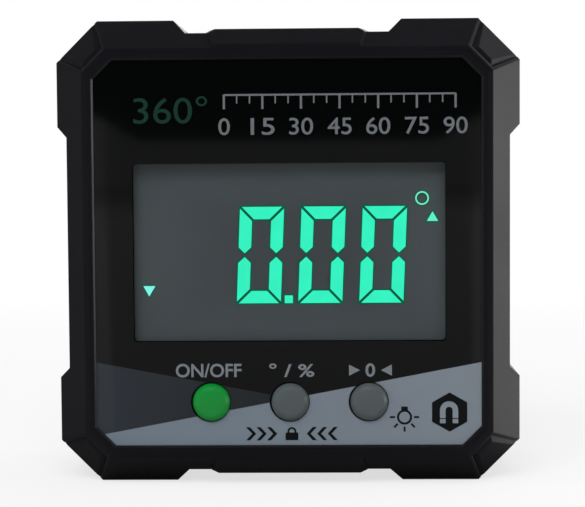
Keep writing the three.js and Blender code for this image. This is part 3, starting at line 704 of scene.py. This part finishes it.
# Angle scale: half width and foot of its ticks, and half width of its numbers, at the top of the panel
SCALE_LEFT, SCALE_RIGHT = -8.0, 21.45
SCALE_STEPS = 18
STEP_DEGREES = 5
STEPS_PER_NUMBER = 3
SHORT_TICK = (0.09, 19.1)
LONG_TICK = (0.14, 18.4)
TICK_HEAD = 20.24
RULE_FOOT, RULE_HEAD = 20.08, 20.32
NUMBER_HALF = 1.53
ZERO_HALF = 0.74
NUMBER_FOOT, NUMBER_HEAD = 15.1, 17.26
NUMBER_WEIGHT = 0.006
FULL_TURN_BOX = ((-19.6, 16.62), (-10.14, 20.08))

# Captions of the keys
CAPTION_WEIGHT = 0.018
CAPTIONS = [
    ("ON/OFF", (-14.51, -15.94), (-6.06, -14.17), CAPTION_WEIGHT),
    ("° / %", (-2.5, -15.94), (3.3, -14.17), CAPTION_WEIGHT),
    ("0", (9.85, -15.94), (11.1, -14.2), 0.02),
]
ZERO_ARROWS = [
    [(7.75, -15.8), (9.15, -15.08), (7.75, -14.36)],
    [(13.24, -14.36), (11.84, -15.08), (13.24, -15.8)],
]

# Padlock between arrows, below the middle key
LOCK_X = BAND_CROSSING[0]
LOCK_HALF = 0.82
LOCK_FOOT, LOCK_HEAD = -24.1, -23.12
SHACKLE_Z = -22.98
SHACKLE_RADII = (0.57, 0.33)
SHACKLE_DROP = 0.2
CHEVRON = [(0, 0.85), (0.5, 0.85), (1.3, 0), (0.5, -0.85), (0, -0.85), (0.8, 0)]
CHEVRON_Z = -23.26
CHEVRONS = 3
CHEVRON_REACH = 5.9
CHEVRON_STEP = 1.35

# Lamp sign, from its own centre
LAMP_CENTRE = Vector((14.84, -21.16))
GLOBE_RADII = (0.97, 0.7)
LAMP_CAP = (Vector((-0.42, 0.86)), Vector((0.42, 1.36)))
RAY_DEGREES = (180, 225, 270, 315, 360)
RAY_HALF = 0.125
RAY_REACH = (1.22, 1.87)

# Magnet sign, from its own centre
MAGNET_CENTRE = Vector((20.62, -20.53))
HALF_HEXAGON = [(0, 2.53), (2.25, 1.25), (2.25, -1.25)]
HORSESHOE_PIVOT = MAGNET_CENTRE + Vector((-0.07, 0.23))
HORSESHOE_OUTER, HORSESHOE_INNER = 1.17, 0.45
HORSESHOE_DROP = 1.0
POLE_FOOT, POLE_HEAD = -1.66, -1.12


def printed(name, finish, *shapes):
    """A printed piece of the panel, joined from its shapes."""
    piece(name, joined(*shapes), [finish])


def angle_scale():
    """A ruled scale over its numbers, as on a protractor, and the full turn beside it."""
    step = (SCALE_RIGHT - SCALE_LEFT) / SCALE_STEPS
    ticks, numbers = [], []
    for i in range(SCALE_STEPS + 1):
        x = SCALE_LEFT + i * step
        numbered = i % STEPS_PER_NUMBER == 0
        half, foot = LONG_TICK if numbered else SHORT_TICK
        ticks.append(bar((x - half, foot), (x + half, TICK_HEAD)))
        if numbered:
            half = NUMBER_HALF if i else ZERO_HALF
            low, high = (x - half, NUMBER_FOOT), (x + half, NUMBER_HEAD)
            numbers.append(lettering(str(i * STEP_DEGREES), low, high, NUMBER_WEIGHT))
    rule = plates([bar((SCALE_LEFT, RULE_FOOT), (SCALE_RIGHT, RULE_HEAD))], *OVERPRINT)
    printed("angle_scale", GREY_INK, plates(ticks, *PRINT), rule, *numbers)
    printed("full_turn_number", GREEN_INK, lettering("360°", *FULL_TURN_BOX))


def captions():
    """Plain signs by the keys: on and off, degrees or per cent, zero, and a lock for the held value."""
    words = [lettering(*caption) for caption in CAPTIONS]
    printed("key_captions", CAPTION_INK, *words, plates(ZERO_ARROWS, *PRINT))
    lock = plates([bar((LOCK_X - LOCK_HALF, LOCK_FOOT), (LOCK_X + LOCK_HALF, LOCK_HEAD))], *PRINT)
    shackle = hoop((LOCK_X, SHACKLE_Z), *SHACKLE_RADII, SHACKLE_DROP, *OVERPRINT)
    arrows = []
    for side in (1, -1):
        for i in range(CHEVRONS):
            start = LOCK_X - side * (CHEVRON_REACH - i * CHEVRON_STEP)
            arrows.append([(start + side * x, CHEVRON_Z + z) for x, z in CHEVRON])
    printed("hold_sign", BLACK_INK, lock, shackle, plates(arrows, *PRINT))


def lamp_sign():
    """A lamp with rays, for the light of the display."""
    globe = ring(LAMP_CENTRE, *GLOBE_RADII, *PRINT)
    cap = plates([bar(*(LAMP_CENTRE + corner for corner in LAMP_CAP))], *OVERPRINT)
    rays = []
    for turn in (math.radians(degrees) for degrees in RAY_DEGREES):
        along = Vector((math.cos(turn), math.sin(turn)))
        across = along.orthogonal() * RAY_HALF
        near, far = (LAMP_CENTRE + along * reach for reach in RAY_REACH)
        rays.append([near + across, near - across, far - across, far + across])
    printed("lamp_sign", BLACK_INK, globe, cap, plates(rays, *PRINT))


def magnet_sign():
    """A pointed hexagon with a horseshoe magnet and its two pole tips."""
    hexagon = [MAGNET_CENTRE + Vector((x, z)) * side for side in (1, -1) for x, z in HALF_HEXAGON]
    printed("magnet_sign_ground", BLACK_INK, plates([hexagon], *PRINT))
    outer, inner = HORSESHOE_OUTER, HORSESHOE_INNER
    magnet = hoop(HORSESHOE_PIVOT, outer, inner, HORSESHOE_DROP, *SECOND_PRINT)
    poles = []
    for left, right in ((-outer, -inner), (inner, outer)):
        low, high = Vector((left, POLE_FOOT)), Vector((right, POLE_HEAD))
        poles.append(bar(HORSESHOE_PIVOT + low, HORSESHOE_PIVOT + high))
    printed("magnet_sign", PALE_INK, magnet, plates(poles, *SECOND_PRINT))


# Rim: the play round the panel, the panel's cut corner, and the slanted edge, which is as deep as wide
PANEL_PLAY = 0.09
PANEL_CORNER = 2.5
RIM_EDGE_FRONT = 0.08
RIM_EDGE = 0.2

# Seam between the shells, and a quarter of their outline there, from the top relief to the right one
SEAM_FRONT, SEAM_BACK = 8.51, 8.69
SEAM_QUARTER = [(13.05, 28.22), (14.75, 30.0), (24.65, 30.0), (30.0, 24.65), (30.0, 16.35), (28.58, 14.95)]
SEAL_INSET = 0.3
SEAL_WIDTH = 0.5


def trim(name, shape, depth, finish):
    """A thin strip of the case that runs all round."""
    bmesh.ops.recalc_face_normals(shape, faces=shape.faces)
    piece(name, thickened(shape, depth), [finish], sharp=20)


def rim_edge():
    """The slanted inner edge of the rim, down to the panel."""
    half = size_of("face_panel").x / 2 + PANEL_PLAY
    leg = PANEL_CORNER + PANEL_PLAY * (2 - math.sqrt(2))
    corners = [(leg - half, half), (half - leg, half), (half, half - leg), (half, leg - half)]
    shape = flat([corners + [(-x, -z) for x, z in corners]], RIM_EDGE_FRONT)
    middle = shape.faces[:]
    inset(shape, middle, RIM_EDGE)
    moved(shape, middle[0].verts, (0, RIM_EDGE, 0))
    bmesh.ops.delete(shape, geom=middle, context="FACES")
    trim("rim_inner_edge", shape, RIM_EDGE, EDGE_PLASTIC)


def case_seal():
    """The thin rubber seal in the seam between the two shells, a little inside their outline."""
    backwards = SEAM_QUARTER[::-1]
    outline = SEAM_QUARTER + [(x, -z) for x, z in backwards]
    outline += [(-x, -z) for x, z in SEAM_QUARTER] + [(-x, z) for x, z in backwards]
    shape = flat([outline], SEAM_FRONT)
    middle = shape.faces[:]
    bmesh.ops.delete(shape, geom=inset(shape, middle, SEAL_INSET), context="FACES")
    inset(shape, middle, SEAL_WIDTH)
    bmesh.ops.delete(shape, geom=middle, context="FACES")
    trim("case_seal", shape, SEAM_BACK - SEAM_FRONT, SEAL_RUBBER)


# Keys: the flange that holds a cap in the case, the dish of its crown and the rounding round the dish
FLANGE_WIDTH = 1.14
FLANGE_THICKNESS = 0.7
FLANGE_EDGE = 0.08
FLANGE_FILLET = 0.02
CROWN_DISH = 0.12
CROWN_ROUNDING = 0.95
DISH_SHARES = (0.15, 0.3, 0.45, 0.6, 0.75, 0.9)
ROUNDING_STEPS = 12
KEY_STEPS = 96

# Edge of a key hole: its inner and outer play round the key, and how far its inner side is moved
HOLE_PLAY = (0.13, 0.235)
HOLE_DEPTH = 0.5
HOLE_SHIFT = (-0.08, 0, 0.03)


def key_caps():
    """Round caps with a dished crown and a rounded edge, each on its flange."""
    for key in KEYS:
        node = f"{key}_key"
        centre = middle_of(node)
        front, back = depth_of(node, 0), depth_of(node, 1)
        flange = size_of(node).x / 2
        radius = flange - FLANGE_WIDTH
        dish = radius - CROWN_ROUNDING
        lean = math.atan(2 * CROWN_DISH / dish)
        edge = CROWN_ROUNDING / (1 - math.sin(lean))
        profile = [(0, front)] + [(dish * share, front + CROWN_DISH * share ** 2) for share in DISH_SHARES]
        for step in range(ROUNDING_STEPS + 1):
            turn = lean + (QUARTER_TURN - lean) * step / ROUNDING_STEPS
            across = edge * (math.sin(turn) - math.sin(lean))
            down = edge * (math.cos(lean) - math.cos(turn))
            profile.append((dish + across, front + CROWN_DISH + down))
        seat = back - FLANGE_THICKNESS
        narrow = flange - FLANGE_EDGE
        profile += [(radius, seat - FLANGE_FILLET), (narrow, seat), (flange, seat + FLANGE_EDGE)]
        profile += [(flange, back - FLANGE_EDGE), (narrow, back), (0, back)]
        shape = revolved(profile, KEY_STEPS, (centre.x, centre.z))
        finish, slot = (GREEN_KEY, "key_green") if key == "power" else (GREY_KEY, "key_grey")
        piece(f"{key}_cap", shape, [finish], f"{key}_key_body", 40, node)
        key_hole_edge(key, centre, radius)


def key_hole_edge(key, centre, radius):
    """The edge of the plate's hole round a key, closer to the key on its right."""
    inner, outer = (radius + play for play in HOLE_PLAY)
    shape = ring((0, 0), outer, inner, PANEL_FRONT - INK / 4, PANEL_FRONT + HOLE_DEPTH, KEY_STEPS)
    between = (inner + outer) / 2
    near = [vert for vert in shape.verts if math.hypot(vert.co.x, vert.co.z) < between]
    moved(shape, near, HOLE_SHIFT)
    moved(shape, shape.verts, (centre.x, 0, centre.z))
    piece(f"{key}_hole_edge", shape, [PANEL])


# Magnets
SIDES = ("top", "right", "bottom", "left")
DISC_EDGE = 0.18


def magnets():
    """Plated discs with broken edges, each turned to face out of its side of the case."""
    for node in [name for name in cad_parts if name.startswith("magnet_")]:
        size = size_of(node)
        half, radius, edge = min(size) / 2, max(size) / 2, DISC_EDGE
        profile = [(0, -half), (radius * 0.5, -half), (radius - edge, -half)]
        profile += [(radius - edge * 0.3, edge * 0.3 - half), (radius, edge - half)]
        profile += [(radius, half - edge), (radius - edge, half), (0, half)]
        shape = revolved(profile)
        shape.transform(Matrix.Rotation(QUARTER_TURN, 4, "X"))
        turns = SIDES.index(node.split("_")[1])
        shape.transform(Matrix.Rotation(turns * QUARTER_TURN, 4, "Y"))
        moved(shape, shape.verts, middle_of(node))
        piece(f"{node}_disc", shape, [NICKEL], node=node)


# Screws: their thread, their head and its cross recess
THREAD_PITCH = 0.62
THREAD_START = 0.8
THREAD_ENDS = 1.6
CORE_SHARE = 0.84
TIP_SHARE, POINT_SHARE = 0.35, 0.8
CREST_SHARES = (0.35, 0.5)
POINT_LENGTH = 0.7
NECK = 0.5
SEAT_EDGE, HEAD_EDGE = 0.06, 0.08
HEAD_ROUNDING = 0.5
HEAD_CROWN = 0.42
CROWN_SHARE = 0.62
CROWN_DROP = 0.04
RECESS_SHARE = 0.6
RECESS_HALF = 0.26
RECESS_DEPTH = 0.8
OVERRUN = 0.5
SCREW_STEPS = 40


def cross_headed(node, body, finish, head_radius, shank_radius, head_height):
    """A pan head screw with a cross recess and a threaded shank."""
    front, back = depth_of(node, 0), depth_of(node, 1)
    centre = middle_of(node)
    seat = back - head_height
    core = shank_radius * CORE_SHARE
    profile = [(0, front), (shank_radius * TIP_SHARE, front)]
    profile.append((shank_radius * POINT_SHARE, front + POINT_LENGTH))
    for i in range(int((seat - front - THREAD_ENDS) / THREAD_PITCH)):
        start = front + THREAD_START + i * THREAD_PITCH
        crest = [(shank_radius, start + THREAD_PITCH * share) for share in CREST_SHARES]
        profile += [(core, start)] + crest
    profile += [(core, seat - NECK), (core, seat), (head_radius - SEAT_EDGE, seat)]
    profile += [(head_radius, seat + HEAD_EDGE), (head_radius, back - HEAD_ROUNDING)]
    for turn in (math.radians(15 * i) for i in range(1, 6)):
        radius = head_radius - HEAD_ROUNDING + HEAD_ROUNDING * math.cos(turn)
        profile.append((radius, back - HEAD_ROUNDING + HEAD_CROWN * math.sin(turn)))
    profile += [(head_radius * CROWN_SHARE, back - CROWN_DROP), (0, back)]
    shape = revolved(profile, SCREW_STEPS, (centre.x, centre.z))
    made = piece(f"{node}_threaded", shape, [finish], body, 35, node)
    x, z, reach, half = centre.x, centre.z, head_radius * RECESS_SHARE, RECESS_HALF
    arms = [bar((x - w, z - h), (x + w, z + h)) for w, h in ((reach, half), (half, reach))]
    carve(made, plates(arms, back - RECESS_DEPTH, back + OVERRUN))


def carve(made, cutter):
    """Takes a closed shape away from a piece."""
    bmesh.ops.recalc_face_normals(cutter, faces=cutter.faces)
    cutter.transform(TO_WORLD)
    mesh = mesh_from("cutter", cutter)
    tool = placed("cutter", mesh)
    change = made.modifiers.new("carve", "BOOLEAN")
    change.operation = "DIFFERENCE"
    change.solver = "EXACT"
    change.use_self = True
    change.object = tool
    old, result = made.data, settled(made)
    made.modifiers.clear()
    made.data = result
    bpy.data.objects.remove(tool)
    for spare in (mesh, old):
        bpy.data.meshes.remove(spare)


def screws():
    """All nine screws, by the radii of head and shank and the height of the head."""
    for i in range(1, 5):
        cross_headed(f"case_screw_{i}", "case", BLACK_STEEL, 2.3, 1.2, 1.8)
        cross_headed(f"board_screw_{i}", "case", STEEL, 1.5, 0.9, 1.1)
    cross_headed("cover_screw", "battery_cover_body", BLACK_STEEL, 1.9, 1.0, 1.1)


# Cells: how far points lie from the axis or in from the sleeve, and from the nub's tip or the base
LEVELS = ("upper", "lower")
NUB = [(0, 0), (1.7, 0), (1.9, 0.15), (1.9, 0.9)]
NUB_SEAT = (1.1, 0.9)
SLEEVE_HEAD = [(0.75, 1.0), (0.3, 1.15), (0, 1.55)]
SLEEVE_FOOT = [(0, 0.55), (0.12, 0.2), (0.4, 0.05)]
BASE = [(4.4, 0), (4.1, 0.25), (1.2, 0.25), (0, 0.2)]

# Springs that press on the bases of the cells
WIRE = 0.25
CURLS = 3
CURL_STEPS = 40
WIDE_CURL, NARROW_CURL = 3.1, 2.0


def cells():
    """Dry cells, each with a sleeve with rolled ends, a steel end with its nub and a dished steel base."""
    for level in LEVELS:
        node = f"{level}_battery"
        size = size_of(node)
        half, radius = size.x / 2, size.z / 2
        sleeve = [(radius - inwards, half - down) for inwards, down in SLEEVE_HEAD]
        sleeve += [(radius - inwards, up - half) for inwards, up in SLEEVE_FOOT]
        nub = [(across, half - down) for across, down in NUB]
        nub += [(radius - NUB_SEAT[0], half - NUB_SEAT[1]), sleeve[0]]
        base = [sleeve[-1]] + [(across, up - half) for across, up in BASE]
        ends = joined(revolved(nub), revolved(base))
        for face in ends.faces:
            face.material_index = 1
        whole = joined(revolved(sleeve), ends)
        whole.transform(Matrix.Rotation(-QUARTER_TURN, 4, "Z"))
        if level == "upper":
            whole.transform(Matrix.Rotation(math.pi, 4, "Z"))
        moved(whole, whole.verts, middle_of(node))
        piece(f"{level}_dry_cell", whole, [SLEEVE, STEEL], sharp=30, node=node)


def springs():
    """Contact springs: curls that taper from the wall of the bay to the base of the cell."""
    for level, side in zip(LEVELS, (1, -1)):
        node = f"{level}_spring"
        centre, length = middle_of(node), size_of(node).x
        height = middle_of(f"{level}_battery").z
        foot = centre.x + side * length / 2
        count = CURLS * CURL_STEPS
        curve = bpy.data.curves.new(node, "CURVE")
        curve.dimensions = "3D"
        curve.bevel_depth = WIRE
        curve.bevel_resolution = 4
        curve.use_fill_caps = True
        line = curve.splines.new("POLY")
        line.points.add(count)
        for i in range(count + 1):
            share = i / count
            angle = CURLS * 2 * math.pi * share
            radius = WIDE_CURL + (NARROW_CURL - WIDE_CURL) * share
            along = WIRE + (length - 2 * WIRE) * share
            depth = centre.y - side * radius * math.sin(angle)
            line.points[i].co = (foot - side * along, depth, height + radius * math.cos(angle), 1)
        shape = shape_from(curve)
        piece(f"{level}_contact_spring", shape, [SPRING_STEEL], sharp=60, node=node)


# Small parts of the board, which stand just clear of its back
STAND_OFF = 0.02
LEG_COUNTS = {"microcontroller": 8, "tilt_sensor": 3}
LEG_LENGTH = 0.75
LEG_HALF = 0.13
LEG_HEIGHT = 0.18
LEG_EDGE = 0.03
CAPACITORS = 6
CAPACITOR_LEFT = -15.5
CAPACITOR_STEP = 2.1
CAPACITOR_BODY = ((-0.35, 0, 9.2), (0.35, 0.48, 10.4))
CAPACITOR_ENDS = [((-0.38, 0, z), (0.38, 0.5, z + 0.3)) for z in (8.9, 10.4)]


def box_shape(low, high, edge=0.05):
    """A small box with broken edges."""
    low, high = Vector(low), Vector(high)
    shape = bmesh.new()
    bmesh.ops.create_cube(shape, size=1)
    set_out(shape, high - low, (low + high) / 2)
    edges = shape.edges[:]
    bmesh.ops.bevel(shape, geom=edges, offset=edge, affect="EDGES", segments=1, profile=0.5, material=-1)
    return shape


def chip_legs():
    """Flat legs on the four sides of the two chips."""
    base = depth_of("circuit_board", 1) + STAND_OFF
    top = base + LEG_HEIGHT
    legs = []
    for node, count in LEG_COUNTS.items():
        centre, half = middle_of(node), size_of(node).x / 2
        pitch = half * 2 / (count + 1)
        for i in range(count):
            along = (i - (count - 1) / 2) * pitch
            left, right = along - LEG_HALF, along + LEG_HALF
            for side in (-1, 1):
                near, far = sorted((side * (half + STAND_OFF), side * (half + LEG_LENGTH)))
                for x, z in (((near, far), (left, right)), ((left, right), (near, far))):
                    low = (centre.x + x[0], base, centre.z + z[0])
                    legs.append(box_shape(low, (centre.x + x[1], top, centre.z + z[1]), LEG_EDGE))
    piece("chip_legs", joined(*legs), [GOLD])


def capacitors():
    """A row of ceramic capacitors with bright ends."""
    base = depth_of("circuit_board", 1) + STAND_OFF
    bodies, ends = [], []
    for i in range(CAPACITORS):
        place = Vector((CAPACITOR_LEFT + i * CAPACITOR_STEP, base, 0))
        for low, high in (CAPACITOR_BODY, *CAPACITOR_ENDS):
            kind = bodies if low == CAPACITOR_BODY[0] else ends
            kind.append(box_shape(place + Vector(low), place + Vector(high)))
    piece("small_capacitors", joined(*bodies), [CERAMIC])
    piece("capacitor_ends", joined(*ends), [STEEL])


display()
angle_scale()
captions()
lamp_sign()
magnet_sign()
rim_edge()
case_seal()
key_caps()
magnets()
screws()
cells()
springs()
chip_legs()
capacitors()


# Stage, in metres: x to the right, y away from the camera
FLOOR_SCALE = (3, 2.4, 1)
FLOOR_CENTRE = (0, 0.3, 0)
SHADOW_RADIUS = 0.12
WHITE_FROM = 0.3
NEAR_WHITE = 0.7
WHITE = grey(255)
FACE_Y = -0.0137
HANGING_Y = -2.1
UPRIGHT_Y = HANGING_Y - 0.01
UPRIGHT_HEIGHT = 0.3
LAYER = 0.0001
CLOTH_HALF = 2.6
CLOTH_END = 2.4
LEFT_JOIN, RIGHT_JOIN = -0.304, 0.188
LEFT_NEAR, RIGHT_NEAR = -0.0225, 0.0235
HEM = [
    (2.6, 0.25), (0.4, 0.18), (0.194, 0.09), (0.176, 0.081), (0.144, 0.06), (-0.256, 0.061),
    (-0.276, 0.0705), (-0.296, 0.085), (-0.319, 0.095), (-0.5, 0.2), (-2.6, 0.25),
]
RIGHT_CARD = [(0.034, FACE_Y), (0.6, FACE_Y), (0.6, 0.5), (0.034, 0.5)]
BACK_CARD = [(-0.08, 0.03), (0.033, 0.03), (0.033, 0.9), (-0.22, 0.9)]
TENT_SIZE = (3, 4, 1.6)
TENT_CENTRE = (0, -0.4, 0.8)
ROOM_LIGHT = 0.3


def pale_floor():
    """Pale paper that takes the shadow near the object and runs into plain white away from it."""
    f = Finish("pale_floor")
    x, depth, _ = f.places()
    fibre = f.noise(1.5, 3.0)
    colour = f.mix(fibre * 0.3, tint(238, 238, 237), grey(230))
    values = {"Base Color": colour, "Roughness": 0.9, "Specular IOR Level": 0.1}
    paper = f.node("ShaderNodeBsdfPrincipled", None, values)
    light = f.node("ShaderNodeEmission", None, {"Color": WHITE, "Strength": 1.0})
    away = (x * x + depth * depth) ** 0.5 * MM
    share = NEAR_WHITE + away.rise(SHADOW_RADIUS, WHITE_FROM - SHADOW_RADIUS) * (1 - NEAR_WHITE)
    return f.ended(f.node("ShaderNodeMixShader", None, {0: f.seen() * share, 1: paper, 2: light}))


def cloth(name, shade, top_shade=None, far_shade=None, lit=0.0):
    """Plain cloth that only the gloss of the object shows, with shades of its own high up or far ahead, and
    a glow of its own, painted light, when lit is given.
    """
    f = Finish(name)
    _, depth, z = f.places()
    colour = f.mottled(f.noise(20.0), (shade, shade, shade), 0.9)
    if top_shade:
        colour = f.mix(z.rise(100, 500), colour, grey(top_shade))
    if far_shade:
        colour = f.mix((0 - depth).rise(750, 850), colour, grey(far_shade))
    return f.surface({
        "Base Color": colour,
        "Roughness": 1.0,
        "Specular IOR Level": 0.0,
        "Emission Color": colour,
        "Emission Strength": lit,
    })


def staged(name, shape, finish, only_in_gloss=True):
    """A piece of the stage, which the gloss alone may show."""
    mesh = mesh_from(name, shape)
    mesh.materials.append(finish)
    made = placed(name, mesh)
    if only_in_gloss:
        made.visible_camera = False
        made.visible_diffuse = False
        made.visible_transmission = False
        made.visible_shadow = False


def lying(name, corners, layer, finish):
    """A flat cloth or card that lies on the floor, in one of the layers there."""
    shape = bmesh.new()
    shape.faces.new([shape.verts.new((x, y, layer * LAYER)) for x, y in corners])
    staged(name, shape, finish)


def hanging(name, outline, y, finish):
    """A flat cloth that hangs or stands ahead of the object."""
    staged(name, flat([outline], y), finish)


def floor():
    """A pale floor that runs into white."""
    shape = bmesh.new()
    bmesh.ops.create_grid(shape, x_segments=1, y_segments=1, size=1)
    set_out(shape, FLOOR_SCALE, FLOOR_CENTRE)
    staged("floor", shape, pale_floor(), only_in_gloss=False)


def cloths():
    """The dim room in the gloss: lying, standing and hanging cloths, and two cards that glow as painted
    light in the gloss.
    """
    half = CLOTH_HALF
    dim = cloth("dim_cloth", 121, far_shade=163)
    lying("lying_cloth", bar((-half, UPRIGHT_Y), (half, CLOTH_END)), 1, dim)
    uprights = {
        "left": (-half, LEFT_JOIN, 245),
        "middle": (LEFT_JOIN, RIGHT_JOIN, 192),
        "right": (RIGHT_JOIN, half, 216),
    }
    for side, (start, end, shade) in uprights.items():
        weave = cloth(f"{side}_upright_weave", shade)
        hanging(f"{side}_upright_cloth", bar((start, 0), (end, UPRIGHT_HEIGHT)), UPRIGHT_Y, weave)
    hanging("hanging_cloth", [(-half, half), (half, half)] + HEM, HANGING_Y, cloth("dark_cloth", 2))
    pale = cloth("side_cloth", 158, far_shade=215)
    sides = {"left": (LEFT_NEAR, LEFT_JOIN, -half), "right": (RIGHT_NEAR, RIGHT_JOIN, half)}
    for side, (near, far, end) in sides.items():
        corners = [(near, FACE_Y), (far, HANGING_Y), (end, HANGING_Y), (end, FACE_Y)]
        lying(f"{side}_cloth", corners, 2, pale)
    # The two cards glow of their own accord: painted light that only the gloss shows.
    card = cloth("glowing_white_card", 250, lit=1.0)
    lying("right_card", RIGHT_CARD, 4, card)
    lying("back_card", BACK_CARD, 6, card)


def tent():
    """A pale tent over it all, open at the bottom and at the back."""
    shape = bmesh.new()
    bmesh.ops.create_cube(shape, size=1)
    openings = [face for face in shape.faces if face.normal.z < -0.9 or face.normal.y > 0.9]
    bmesh.ops.delete(shape, geom=openings, context="FACES_ONLY")
    set_out(shape, TENT_SIZE, TENT_CENTRE)
    staged("tent", shape, cloth("tent_cloth", 198, top_shade=150))


def lamp(name, place, size, power, colour=(1, 1, 1), in_gloss=True):
    """A soft rectangular lamp that points at the middle of the object."""
    data = bpy.data.lights.new(name, "AREA")
    data.shape = "RECTANGLE"
    data.size, data.size_y = size
    data.energy = power
    data.color = colour
    holder = placed(name, data)
    holder.location = place
    aim = Vector((0, 0, MID_Z)) - Vector(place)
    holder.rotation_euler = aim.to_track_quat("-Z", "Y").to_euler()
    holder.visible_camera = False
    holder.visible_glossy = in_gloss


def lights():
    """Soft lamps, by place, size and power."""
    lamp("right_window", (0.75, 0.06, 0.0), (0.8, 0.26), 3.7, (1, 0.985, 0.99))
    lamp("high_window", (0.65, 0.12, 0.75), (0.5, 0.5), 0.9)
    lamp("front_softbox", (-0.1, -0.8, 0.85), (0.9, 0.6), 11.0, in_gloss=False)
    lamp("left_fill", (-0.9, -0.25, 0.35), (0.6, 0.6), 2.2, in_gloss=False)
    lamp("back_window", (0.3, 1.0, 0.35), (0.8, 0.5), 3.0)


def white_world():
    """A world that is white where it is seen, mirrored or looked through to, and dimmer as a light."""
    f = Finish("studio", bpy.data.worlds, "ShaderNodeOutputWorld")
    room, white = (f.node("ShaderNodeBackground", None, {"Color": WHITE, "Strength": strength})
                   for strength in (ROOM_LIGHT, 1.0))
    whole = f.node("ShaderNodeMixShader", None, {0: f.seen(), 1: room, 2: white})
    bpy.context.scene.world = f.ended(whole)


def camera():
    """The photograph's own view, from in front, a little above and to the right, and turned slightly."""
    image_width = 585
    focal_pixels = 1724.6
    azimuth, elevation, roll = (math.radians(value) for value in (1.48, 3.3, -0.41))
    distance = 220 * MM
    target = Vector((0.62 * MM, RIM_Y, MID_Z - 0.02 * MM))
    level = math.cos(elevation)
    away = Vector((math.sin(azimuth) * level, -math.cos(azimuth) * level, math.sin(elevation)))
    data = bpy.data.cameras.new("camera")
    data.sensor_width = 36
    data.lens = focal_pixels * data.sensor_width / image_width
    data.clip_start = 0.01
    holder = placed("camera", data)
    holder.location = target + away * distance
    facing = (-away).to_track_quat("-Z", "Y").to_matrix().to_4x4()
    holder.rotation_euler = (facing @ Matrix.Rotation(roll, 4, "Z")).to_euler()
    bpy.context.scene.camera = holder


floor()
cloths()
tent()
lights()
white_world()
camera()
bpy.context.scene.view_settings.view_transform = "Standard"
